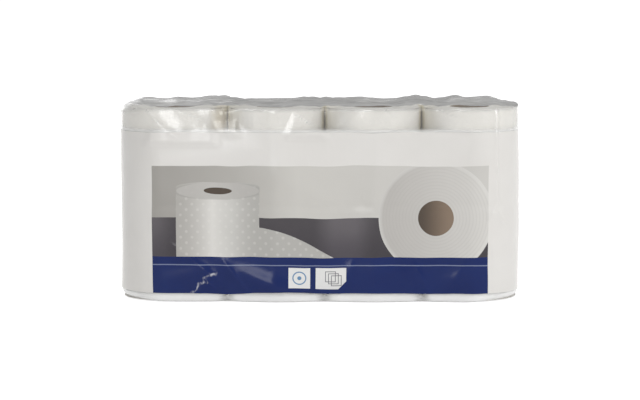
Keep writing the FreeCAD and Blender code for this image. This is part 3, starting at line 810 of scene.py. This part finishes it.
def print_pieces(materials):
    """The printed fields as thin sheets that follow the film, cut along the shapes' outlines."""
    outlines = print_outlines()
    flat, triangles = print_mesh(outlines.values())
    names = field_of(flat[triangles].mean(axis=1), outlines)
    u, z = drawn(flat[:, 0], flat[:, 1])
    face = front_skin(u, z, FILM_SKIN + INK_FACE)
    back = front_skin(u, z, FILM_SKIN + INK_BACK)
    for name, (node, slot, material) in materials.items():
        own = triangles[names == name]
        used, index = np.unique(own, return_inverse=True)
        index = index.reshape(own.shape)
        piece = sheet_piece(f"ink_{name}", face[used], back[used], index, flat[used], material)
        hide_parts(node)


def sheet_piece(name, face, back, triangles, flat, material):
    """Closed thin sheet between two skins that share their triangles, with the flat print as its map."""
    count = len(face)
    faces = [tuple(t) for t in triangles]
    rim = {}
    for a, b, c in faces:
        for start, stop in ((a, b), (b, c), (c, a)):
            if (stop, start) in rim:
                del rim[(stop, start)]
            else:
                rim[(start, stop)] = True
    closed = faces + [(c + count, b + count, a + count) for a, b, c in faces]
    closed += [(b, a, a + count, b + count) for a, b in rim]
    piece = new_piece(name, np.concatenate([face, back]), closed, material)
    layer = piece.data.uv_layers.new(name="print")
    corners = np.zeros(len(piece.data.loops), int)
    piece.data.loops.foreach_get("vertex_index", corners)
    layer.data.foreach_set("uv", (flat[corners % count] * MM).ravel())
    merge_close(piece, FINE_MERGE)
    piece.data.set_sharp_from_angle(angle=math.radians(50))
    return piece


# Rolls and cores

# Name and ends of the two layers
LAYERS = (("lower", ROLL_BASE, LAYER_LEVEL), ("upper", LAYER_LEVEL, ROLL_TOP))
LAST_COLUMN = COLUMNS - 1
# Lines of the winding on a roll's end and their height, height and size of its soft waves, and how
# far the end is set in
WINDING_LINES, LINE_HEIGHT = 15, 0.13
WAVE_HEIGHT, WAVE_SIZE = 0.22, 9.0
END_INSET = 0.35
# How far the pack's outer corners are pressed in, and over what height: below, and above on the left
BASE_SQUASH, TOP_SQUASH = (6.5, 10), (3.6, 7)
# How far the card tubes stand back from a roll's ends, and how far they are out of round
CORE_ABOVE_BASE, CORE_BELOW_TOP = 0.5, 0.8
CORE_OVAL = 0.08
# Steps up the wall of a tube
CORE_RINGS = 8


def squeezed(column, turns):
    """How much further than a circle a roll fills the corner beside a neighbour that presses on it."""
    if column == 0:
        return np.ones_like(turns)
    across, along = np.abs(np.cos(turns)), np.abs(np.sin(turns))
    reach = (across**SQUEEZE + along**SQUEEZE) ** (-1 / SQUEEZE)
    return np.where((np.cos(turns) > 0) & (column == LAST_COLUMN), 1.0, reach)


def touching(column, turns):
    """1 where a roll meets a neighbour, fading to 0 away from there."""
    across = np.cos(turns)
    free = across < 0 if column == 0 else (across > 0) & (column == LAST_COLUMN)
    return np.where(free, 0.0, across**8)


def roll_section(column, turns, radius_share, tail):
    """Outline of one turn of a roll, from the core (0) to the outside (1), pressed by its neighbours."""
    step = PAPER_THICKNESS * (((turns - tail) / (2 * math.pi)) % 1.0) ** 6
    pressed = (CONTACT_BULGE + step) * touching(column, turns)
    squeeze = squeezed(column, turns)
    outer = ((PRESSED_RADIUS if column == 0 else ROLL_RADIUS) - step) * squeeze
    reach = PRESSED_REACH * np.tanh(3 * np.cos(turns)) / math.tanh(3) if column == 0 else 0
    x = (outer + pressed) * np.cos(turns) + reach
    y = outer * np.sin(turns)
    # the film holds the filled corners in
    held = half_depth(COLUMN_X[column] + x) - step
    y = np.where(squeeze > 1, np.clip(y, -held, held), y)
    hole = CORE_OUTSIDE + 0.1
    x = x * radius_share + hole * np.cos(turns) * (1 - radius_share)
    y = y * radius_share + hole * np.sin(turns) * (1 - radius_share)
    return x, y


def roll_end(column, turns, tail, level, heading, shares, ripples):
    """Rings of a roll's end, whose turns stand out and back a little where it isn't hidden."""
    rings = []
    spin = turns / (2 * math.pi)
    for share in shares:
        x, y = roll_section(column, turns, share, tail)
        spots = joined(x + 50 * column, y, level)
        wave = np.sin((share * WINDING_LINES + spin) * 2 * math.pi) * LINE_HEIGHT
        wave = wave + WAVE_HEIGHT * noise(spots / WAVE_SIZE)
        depth = END_INSET - ripples * wave * min(1.0, (1 - share) * 12)
        rings.append(joined(x, y, level - heading * depth))
    return rings


def squashed(column, layer, turns, z):
    """How far a roll is pressed in at an outer corner of the pack."""
    _, base, top = LAYERS[layer]
    facing = np.maximum(np.cos(turns) * {0: -1, LAST_COLUMN: 1}.get(column, 0), 0)
    if layer == 1 and column != 0:
        return np.zeros_like(turns)
    depth, height = BASE_SQUASH if layer == 0 else TOP_SQUASH
    from_end = z - base if layer == 0 else top - z
    return depth * facing * max(0.0, 1 - from_end / height) ** 2


def roll_side(column, layer, turns, tail):
    """Rings of a roll's side, rounded at the two edges except where it meets a neighbour."""
    _, base, top = LAYERS[layer]
    x, y = roll_section(column, turns, 1.0, tail)
    rings = []
    for n in range(SIDE_RINGS + 1):
        z = base + (top - base) * n / SIDE_RINGS
        rounding = ROLL_EDGE * max(0.0, 1 - min(z - base, top - z) / ROLL_EDGE) ** 2 * 0.6
        inset = rounding * (1 - touching(column, turns)) + squashed(column, layer, turns, z)
        share = 1 - inset / np.hypot(x, y)
        rings.append(joined(x * share, y * share, z))
    return rings


def ring_piece(name, column, rings, material, smooth_faces=True):
    """A closed body in this column, from rings whose last is joined to the first."""
    vertices = np.concatenate(rings + rings[:1]) + np.array([COLUMN_X[column], 0, 0])
    piece = new_piece(name, vertices, grid_faces(len(rings) + 1, len(rings[0])), material, smooth_faces)
    merge_close(piece, FINE_MERGE)
    return piece


def roll_piece(column, layer, material):
    """One paper roll: a wound body with rippled ends, soft edges and the last sheet's edge."""
    name, base, top = LAYERS[layer]
    tail = math.radians(TAIL_TURN * (column + layer / 2)) if column else math.pi / 2
    turns = np.linspace(tail, tail + 2 * math.pi, ROLL_POINTS, endpoint=False)
    low_rings, top_rings = (SEEN_RINGS, HIDDEN_RINGS) if layer == 0 else (HIDDEN_RINGS, SEEN_RINGS)
    outwards = [n / low_rings for n in range(low_rings)]
    inwards = [1 - (n + 1) / top_rings for n in range(top_rings)]
    rings = roll_end(column, turns, tail, base, -1, outwards, 1.0 - layer)
    rings += roll_side(column, layer, turns, tail)
    rings += roll_end(column, turns, tail, top, 1, inwards, float(layer))
    piece = ring_piece(f"{name}_roll_{column + 1}", column, rings, material)
    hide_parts(("lower_rolls", "upper_rolls")[layer])


def core_piece(column, layer, material):
    """Card tube, slightly out of round, standing back a little from the roll's ends."""
    name, base, top = LAYERS[layer]
    low, high = base + CORE_ABOVE_BASE, top - CORE_BELOW_TOP
    turns = np.linspace(0, 2 * math.pi, CORE_POINTS, endpoint=False)
    bore = CORE_OUTSIDE - CORE_WALL
    section = [(bore, low), (CORE_OUTSIDE, low), (CORE_OUTSIDE, high), (bore, high), (bore, low)]
    rings = []
    for (r0, z0), (r1, z1) in zip(section, section[1:]):
        for share in np.linspace(0, 1, 2 if r0 != r1 else CORE_RINGS + 1)[:-1]:
            radius = r0 + (r1 - r0) * share + CORE_OVAL * np.sin(2 * turns + column)
            level = z0 + (z1 - z0) * share
            rings.append(joined(radius * np.cos(turns), radius * np.sin(turns), level))
    piece = ring_piece(f"{name}_core_{column + 1}", column, rings, material, smooth_faces=False)
    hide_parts("card_cores")


# Materials


class Shader:
    """Short way to write the nodes of a material or of the world."""

    def __init__(self, name, world=False):
        self.owner = bpy.data.worlds.new(name) if world else bpy.data.materials.new(name)
        self.owner.use_nodes = True
        self.tree = self.owner.node_tree
        self.tree.nodes.clear()
        self.output = self.node("ShaderNodeOutputWorld" if world else "ShaderNodeOutputMaterial")

    def finish(self, shader):
        self.feed(self.output.inputs["Surface"], shader)
        return self.owner

    def feed(self, socket, value):
        """Links another node's output to the socket, or sets it to a plain value."""
        if isinstance(value, bpy.types.NodeSocket):
            self.tree.links.new(value, socket)
        elif socket.type == "RGBA":
            socket.default_value = (*value, 1)
        else:
            socket.default_value = value

    def node(self, kind, settings=None, **sockets):
        """A node with these settings, whose sockets of these names are fed."""
        made = self.tree.nodes.new(kind)
        for key, value in (settings or {}).items():
            setattr(made, key, value)
        for key, value in sockets.items():
            self.feed(made.inputs[key.replace("_", " ")], value)
        return made

    def fed(self, kind, values, settings=None):
        """A node whose first sockets are fed in their order."""
        made = self.node(kind, settings)
        for socket, value in zip(made.inputs, values):
            self.feed(socket, value)
        return made.outputs[0]

    def math(self, operation, first, second=0.0, clamp=False):
        return self.fed("ShaderNodeMath", (first, second), {"operation": operation, "use_clamp": clamp})

    def times(self, first, second, clamp=False):
        return self.math("MULTIPLY", first, second, clamp)

    def plus(self, first, second, clamp=False):
        return self.math("ADD", first, second, clamp)

    def minus(self, first, second):
        return self.math("SUBTRACT", first, second)

    def larger(self, first, second):
        return self.math("MAXIMUM", first, second)

    def apart(self, first, second):
        """How far two values are apart."""
        return self.math("ABSOLUTE", self.minus(first, second))

    def square(self, x, z):
        """Square of a distance, from its two parts."""
        return self.plus(self.times(x, x), self.times(z, z))

    def place(self):
        """Object coordinates in millimetres."""
        spot = self.node("ShaderNodeTexCoord").outputs["Object"]
        scaled = self.node("ShaderNodeVectorMath", {"operation": "SCALE"}, Vector=spot, Scale=1 / MM)
        return scaled.outputs[0]

    def print_axes(self):
        """x and z in millimetres on the print, before the film's slack draws it out of true."""
        spot = self.node("ShaderNodeUVMap", {"uv_map": "print"}).outputs[0]
        split = self.node("ShaderNodeSeparateXYZ", Vector=spot)
        return [self.math("DIVIDE", split.outputs[axis], MM) for axis in (0, 1)]

    def axes(self):
        """x, y and z in millimetres."""
        return self.node("ShaderNodeSeparateXYZ", Vector=self.place()).outputs

    def noise(self, size, detail=3.0, stretch=(1, 1, 1)):
        """Noise with features of this size in millimetres."""
        spot = self.fed("ShaderNodeVectorMath", (self.place(), stretch), {"operation": "MULTIPLY"})
        return self.node("ShaderNodeTexNoise", Vector=spot, Scale=1 / size, Detail=detail).outputs["Fac"]

    def ramp(self, value, stops):
        """Colour ramp. stops are (position, colour)."""
        made = self.node("ShaderNodeValToRGB", Fac=value)
        elements = made.color_ramp.elements
        while len(elements) < len(stops):
            elements.new(0.5)
        for element, (position, colour) in zip(elements, stops):
            element.position = position
            element.color = (*colour, 1)
        return made.outputs[0]

    def span(self, value, start, stop, low=0.0, high=1.0):
        """Maps start to low and stop to high with a soft step."""
        values = (value, start, stop, low, high)
        return self.fed("ShaderNodeMapRange", values, {"interpolation_type": "SMOOTHSTEP"})

    def mix(self, share, first, second):
        """Mixes two colours."""
        made = self.node("ShaderNodeMix", {"data_type": "RGBA"}, Factor=share)
        self.feed(made.inputs[6], first)
        self.feed(made.inputs[7], second)
        return made.outputs[2]

    def mix_shaders(self, share, first, second):
        return self.fed("ShaderNodeMixShader", (share, first, second))

    def bump(self, height, strength, distance):
        made = self.node("ShaderNodeBump", Strength=strength, Distance=distance * MM, Height=height)
        return made.outputs[0]

    def surface(self, colour, roughness, **sockets):
        made = self.node("ShaderNodeBsdfPrincipled", Base_Color=colour, Roughness=roughness, **sockets)
        return made.outputs[0]


def film_material():
    """Film with a sharp gloss, clear from straight on, milky at its layers, creases and rim, and with
    painted shade that greys its top.
    """
    shader = Shader("film")
    ripple = shader.bump(shader.noise(6.0, 4.0, (1, 1, 0.6)), 0.3, 0.5)
    clear = shader.node("ShaderNodeBsdfTransparent", Color=(0.97, 0.97, 0.965)).outputs[0]
    facing = shader.node("ShaderNodeLayerWeight", Blend=0.5).outputs["Facing"]
    edge_on = shader.span(facing, 0.45, 0.88)

    # painted shade: the top is painted a darker grey than the sides, where less light falls on it, and
    # many folds also lie there behind each other
    _, _, z = shader.axes()
    high = shader.span(z, TOP_LEVEL - 1.5, TOP_LEVEL)
    # painted shade colour for the top, in dark greys
    folded = shader.mix(shader.noise(24.0, 4.0), (0.06, 0.058, 0.056), (0.25, 0.245, 0.235))
    top_shade_share = shader.times(high, shader.span(edge_on, 0, 1, 0.45, 1.0))
    tone = shader.mix(top_shade_share, (0.88, 0.88, 0.87), folded)
    haze = shader.surface(tone, 0.35, Normal=ripple, Specular_IOR_Level=0.3)

    milky = shader.node("ShaderNodeAttribute", {"attribute_name": "milkiness"}).outputs["Fac"]
    cloud = shader.plus(shader.span(shader.noise(20.0, 3.0), 0.35, 0.75, 0.06, 0.11), milky)
    seen_edge_on = shader.times(edge_on, shader.span(high, 0, 1, 0.35, 0.88))
    body = shader.mix_shaders(shader.plus(seen_edge_on, cloud, clamp=True), clear, haze)

    gloss = shader.node("ShaderNodeBsdfAnisotropic", Roughness=0.15, Normal=ripple)
    shine = shader.span(facing, 0.1, 1.0, 0.055, 0.15)
    shine = shader.times(shine, shader.span(high, 0, 1, 1.0, 0.38))
    return shader.finish(shader.mix_shaders(shine, body, gloss.outputs[0]))


def ink(shader, colour, roughness=0.16, gloss=0.25):
    """Ink seen through gloss film."""
    ripple = shader.bump(shader.noise(7.0, 3.0, (1, 1, 0.6)), 0.2, 0.5)
    return shader.finish(shader.surface(colour, roughness, Normal=ripple, Specular_IOR_Level=gloss))


def white_ink():
    shader = Shader("white_ink")
    tone = shader.mix(shader.noise(60.0, 2.0), (0.70, 0.68, 0.65), (0.76, 0.745, 0.72))
    return ink(shader, tone, 0.2, 0.32)


def painted_crease_highlight(shader, x, z, start, stop):
    """How much painted highlight lies along a sharp crease between two points, in broken pale streaks."""
    heading = Vector(stop) - Vector(start)
    length = heading.length
    along_x, along_z = heading / length
    from_x = shader.minus(x, start[0])
    from_z = shader.minus(z, start[1])
    run = shader.plus(shader.times(from_x, along_x), shader.times(from_z, along_z))
    off = shader.minus(shader.times(from_x, along_z), shader.times(from_z, along_x))
    bend = shader.times(shader.minus(shader.noise(9.0, 1.0), 0.5), 12.0)
    streak = shader.span(shader.math("ABSOLUTE", shader.plus(off, bend)), 0.0, 2.4, 1.0, 0.0)
    ends = shader.times(shader.span(run, -2, 3), shader.span(run, length - 4, length + 2, 1, 0))
    broken = shader.span(shader.noise(5.0, 1.0, (1.6, 1, 0.7)), 0.30, 0.62)
    return shader.times(streak, shader.times(ends, broken))


# Height of the rule over the band's lower edge, and the ends in x and z of the crease with a painted
# highlight
RULE_HEIGHT = 28.3
HIGHLIGHT_CREASE = (-106, 32), (-130, 9)


def blue_ink():
    """Blue band with a thin pale rule across it and a painted highlight along a crease near its left end.
    """
    shader = Shader("blue_ink")
    x, z = shader.print_axes()
    rule = shader.span(shader.apart(z, PRINT_BASE + RULE_HEIGHT), 0.25, 0.75, 0.55, 0.0)
    tone = shader.mix(shader.noise(40.0, 2.0), (0.003, 0.012, 0.09), (0.007, 0.022, 0.125))
    tone = shader.mix(rule, tone, (0.35, 0.4, 0.55))
    # painted highlight: pale streaks along the crease, where the film's gloss would catch the light
    painted_highlight = shader.times(painted_crease_highlight(shader, x, z, *HIGHLIGHT_CREASE), 0.8)
    return ink(shader, shader.mix(painted_highlight, tone, (0.62, 0.62, 0.66)), gloss=0.18)


def wall_ink():
    shader = Shader("grey_ink")
    x, _ = shader.print_axes()
    left, middle, right = (0.36, 0.345, 0.32), (0.595, 0.58, 0.545), (0.585, 0.57, 0.54)
    share = shader.span(x, PRINT_LEFT, PRINT_RIGHT)
    return ink(shader, shader.ramp(share, [(0, left), (0.4, middle), (1, right)]))


# Width over which the shadow of a printed roll fades
SHADOW_EDGE = 26


def ground_ink():
    """Dark ground, with the shadows of the two printed rolls on it."""
    shader = Shader("dark_ink")
    x, z = shader.print_axes()
    share = shader.span(z, BAND_TOP, GROUND_TOP)
    tone = shader.mix(share, (0.075, 0.066, 0.078), (0.13, 0.118, 0.128))
    standing = (UPRIGHT_LEFT, UPRIGHT_RIGHT + SHEET_LENGTH * 0.7)
    lying = (RING_X - RING_RADIUS, RING_X + RING_RADIUS)
    for left, right in (standing, lying):
        begins = shader.span(x, left - SHADOW_EDGE, left, 0, 1)
        ends = shader.span(x, right, right + SHADOW_EDGE, 1, 0)
        shadow = shader.times(shader.times(begins, ends), 0.7)
        tone = shader.mix(shadow, tone, (0.038, 0.033, 0.038))
    return ink(shader, tone)


def upright_tone(shader, x, z):
    """The standing roll: shaded across, with light dots, and an even grey end with a dark edge."""
    light, dark = (0.72, 0.705, 0.67), (0.43, 0.415, 0.39)
    turning, right = (0.60, 0.59, 0.56), (0.45, 0.44, 0.415)
    across = shader.span(x, UPRIGHT_LEFT, UPRIGHT_RIGHT)
    tone = shader.ramp(across, [(0, dark), (0.4, light), (0.75, turning), (1, right)])
    columns, rows = (shader.math("SINE", shader.times(axis, 0.55)) for axis in (x, z))
    dots = shader.span(shader.times(columns, rows), 0.55, 0.85, 0, 0.22)
    tone = shader.mix(dots, tone, (0.80, 0.785, 0.75))
    end_x = shader.math("DIVIDE", shader.minus(x, UPRIGHT_MIDDLE), UPRIGHT_WIDTH / 2)
    end_z = shader.math("DIVIDE", shader.minus(z, MOUTH_Z), MOUTH_DROP + MOUTH_HEIGHT / 2)
    off_end = shader.square(end_x, end_z)
    tone = shader.mix(shader.span(off_end, 0.94, 1.02, 0.75, 0), tone, (0.60, 0.585, 0.555))
    return shader.mix(shader.span(off_end, 1.02, 1.35, 0.35, 0), tone, (0.30, 0.285, 0.27))


def ring_tone(shader, x, z):
    """The roll that is seen from its end: turns of paper, darker on the left, with a light rim."""
    off_x, off_z = shader.minus(x, RING_X), shader.minus(z, RING_Z)
    radius = shader.math("SQRT", shader.square(off_x, off_z))
    turns = shader.times(shader.math("SINE", shader.times(radius, 1.9)), 0.25, clamp=True)
    tone = shader.mix(turns, (0.64, 0.625, 0.595), (0.50, 0.485, 0.46))
    shade = shader.span(off_x, -RING_RADIUS, RING_RADIUS, 0.55, 0.0)
    tone = shader.mix(shade, tone, (0.36, 0.34, 0.32))
    rim = shader.span(radius, RING_RADIUS - 5, RING_RADIUS, 0.0, 0.45)
    return shader.mix(rim, tone, (0.74, 0.73, 0.70))


def paper_ink():
    """The two printed rolls, parted beyond the tip of the loose sheet."""
    shader = Shader("pale_ink")
    x, z = shader.print_axes()
    sheet_end = UPRIGHT_RIGHT + SHEET_LENGTH
    side = shader.span(x, sheet_end - 4, sheet_end - 3)
    return ink(shader, shader.mix(side, upright_tone(shader, x, z), ring_tone(shader, x, z)))


def core_ink():
    shader = Shader("brown_ink")
    x, _ = shader.print_axes()
    share = shader.span(x, RING_X - RING_CORE, RING_X + RING_CORE)
    return ink(shader, shader.mix(share, (0.075, 0.055, 0.04), (0.24, 0.175, 0.125)))


def tile_ink():
    """White tiles: a ring with a dot on the left one, a stack of three sheets on the right one."""
    shader = Shader("tile_ink")
    x, z = shader.print_axes()
    middle_z = (TILES_BASE + TILES_TOP) / 2
    stack_x = TILES_RIGHT - 13.0
    lines = 0.0
    for step in range(3):
        off_x = shader.apart(x, stack_x - 3 + 3 * step)
        off_z = shader.apart(z, middle_z + 2 - 2 * step)
        off_line = shader.apart(shader.larger(off_x, off_z), 5.0)
        lines = shader.larger(shader.span(off_line, 0.15, 0.5, 1.0, 0.0), lines)
    off_x = shader.minus(x, TILES_LEFT + LEFT_TILE_WIDTH / 2)
    radius = shader.math("SQRT", shader.square(off_x, shader.minus(z, middle_z)))
    ring = shader.span(shader.apart(radius, 6.5), 0.4, 0.8, 1.0, 0.0)
    dot = shader.span(radius, 1.8, 2.4, 1.0, 0.0)
    tone = shader.mix(lines, (0.78, 0.775, 0.76), (0.10, 0.10, 0.12))
    return ink(shader, shader.mix(shader.larger(ring, dot), tone, (0.12, 0.25, 0.42)), 0.3)


# Distance of the dots that are embossed in the tissue
EMBOSS_SIZE = 3.2


def tissue_material():
    """Soft white tissue with a fine emboss, and painted shade in warm tones in and beside the gaps between
    the columns.
    """
    shader = Shader("tissue")
    dots = shader.node("ShaderNodeTexVoronoi", Vector=shader.place(), Scale=1 / EMBOSS_SIZE)
    relief = shader.plus(dots.outputs["Distance"], shader.times(shader.noise(0.9), 0.6))
    bump = shader.bump(relief, 0.5, 0.35)
    tone = shader.mix(shader.noise(25.0, 3.0), (0.80, 0.775, 0.725), (0.87, 0.855, 0.82))
    x, _, _ = shader.axes()
    # painted shade: a dark olive line in each gap between the columns, fading out warm beside it
    for seam in VALLEY_X:
        off = shader.minus(x, seam)
        seam_shade = shader.span(shader.math("ABSOLUTE", off), 1, 4.5, 0.8, 0)
        beyond = shader.times(shader.span(off, 0, 2), shader.span(off, 3, 22, 0.28, 0))
        tone = shader.mix(shader.larger(seam_shade, beyond), tone, (0.68, 0.61, 0.41))
    # painted warm shade on the first roll's side, left of the first gap
    before = shader.minus(VALLEY_X[0], x)
    warm_shade = shader.times(shader.span(before, 0, 4), shader.span(before, 6, 20, 0.8, 0))
    tone = shader.mix(warm_shade, tone, (0.74, 0.66, 0.50))
    return shader.finish(shader.surface(tone, 0.85, Normal=bump, Sheen_Weight=0.15))


def card_material():
    """Grey-brown card with long fibres."""
    shader = Shader("card")
    fibres = shader.noise(1.4, 4.0, (1, 1, 3))
    tone = shader.mix(fibres, (0.30, 0.22, 0.155), (0.46, 0.36, 0.26))
    return shader.finish(shader.surface(tone, 0.9, Normal=shader.bump(fibres, 0.4, 0.2)))


# Build the pack

film_piece(film_material())
print_pieces(
    {
        "title": ("print_title_field", "white_ink", white_ink()),
        "wall": ("print_picture_wall", "grey_ink", wall_ink()),
        "ground": ("print_picture_ground", "dark_ink", ground_ink()),
        "paper": ("print_picture_paper", "pale_ink", paper_ink()),
        "cores": ("print_picture_cores", "brown_ink", core_ink()),
        "band": ("print_blue_band", "blue_ink", blue_ink()),
        "tiles": ("print_band_tiles", "white_ink", tile_ink()),
    }
)
tissue = tissue_material()
card = card_material()
for layer in range(len(LAYERS)):
    for column in range(COLUMNS):
        roll_piece(column, layer, tissue)
        core_piece(column, layer, card)


# Stage, lights and camera

# Places and sizes in metres, the camera's elevation in degrees, its lens and sensor in millimetres
WORLD_LIGHT = 0.40
FLOOR_GLOW = 0.72
FLOOR_REACH = 12.0
FLOOR_DROP = 0.0005
CAMERA_DISTANCE = 2.5
CAMERA_ELEVATION = 7.0
CAMERA_LENS = 137.5
SENSOR_WIDTH = 36
CAMERA_REACH = 100
CAMERA_TARGET = Vector((0, 0, 0.098))
PACK_MIDDLE = (0, 0, 0.1)
# The lamps round the pack: place, width, height and power
LAMPS = {
    "key": ((2.1, -1.5, 0.9), 1.5, 1.3, 21),
    "right": ((2.4, -0.8, 0.3), 1.0, 0.8, 4.5),
    "fill": ((-0.8, -2.5, 0.6), 1.5, 0.8, 5),
    "low": ((-0.45, -2.4, 0.3), 0.45, 0.35, 3.2),
    "top": ((-0.2, -0.1, 1.9), 1.4, 0.8, 8),
    "back": ((-1.2, 2.2, 0.9), 1.7, 1.3, 18),
    "back low": ((0.7, 2.3, 0.3), 0.4, 0.4, 4),
}


def seen_directly(shader):
    """1 for what the camera sees, also in a reflection or through something clear."""
    path = shader.node("ShaderNodeLightPath").outputs
    mirrored = shader.larger(path["Is Glossy Ray"], path["Is Transmission Ray"])
    return shader.larger(path["Is Camera Ray"], mirrored)


def floor_material():
    """White floor: white to the camera, with the pack's shadow left on it."""
    shader = Shader("floor")
    matt = shader.node("ShaderNodeBsdfDiffuse", Color=(0.9, 0.9, 0.9))
    seen = shader.times(seen_directly(shader), FLOOR_GLOW)
    glow = shader.node("ShaderNodeEmission", Color=(1, 1, 1), Strength=seen)
    return shader.finish(shader.fed("ShaderNodeAddShader", (matt.outputs[0], glow.outputs[0])))


def floor_piece():
    corners = ((-1, -1), (1, -1), (1, 1), (-1, 1))
    mesh = bpy.data.meshes.new("floor")
    mesh.from_pydata([(x * FLOOR_REACH, y * FLOOR_REACH, 0) for x, y in corners], [], [(0, 1, 2, 3)])
    mesh.materials.append(floor_material())
    floor = new_object("floor", mesh)
    floor.location.z = -FLOOR_DROP


def world():
    """Plain surroundings that the camera sees as white."""
    shader = Shader("studio", world=True)
    strength = shader.span(seen_directly(shader), 0, 1, WORLD_LIGHT, 1.0)
    light = shader.node("ShaderNodeBackground", Color=(1, 1, 1), Strength=strength)
    bpy.context.scene.world = shader.finish(light.outputs[0])


def turn_to(thing, target):
    """Turns a lamp or camera to a point."""
    heading = Vector(target) - thing.location
    thing.rotation_euler = heading.to_track_quat("-Z", "Y").to_euler()


def softbox(name, place, target, width, height, power):
    """A lamp with an even rectangle of light."""
    data = bpy.data.lights.new(name, "AREA")
    data.shape = "RECTANGLE"
    data.size = width
    data.size_y = height
    data.energy = power
    lamp = new_object(name, data)
    lamp.location = place
    turn_to(lamp, target)
    return lamp


def camera():
    """Looks at the pack's middle from the front, a little above it."""
    data = bpy.data.cameras.new("camera")
    data.sensor_width = SENSOR_WIDTH
    data.lens = CAMERA_LENS
    data.clip_end = CAMERA_REACH
    elevation = math.radians(CAMERA_ELEVATION)
    made = new_object("camera", data)
    heading = Vector((0, -math.cos(elevation), math.sin(elevation)))
    made.location = CAMERA_TARGET + heading * CAMERA_DISTANCE
    turn_to(made, CAMERA_TARGET)
    bpy.context.scene.camera = made


floor_piece()
world()
for name, (place, width, height, power) in LAMPS.items():
    softbox(name, place, PACK_MIDDLE, width, height, power)
# light thrown back by the floor in front, just over it
bounce = softbox("bounce", (0, -1.2, 0.04), (0, 0, 0.04), 1.6, 0.07, 1.7)
bounce.visible_camera = False
bounce.visible_glossy = False
camera()
bpy.context.scene.view_settings.view_transform = "Standard"
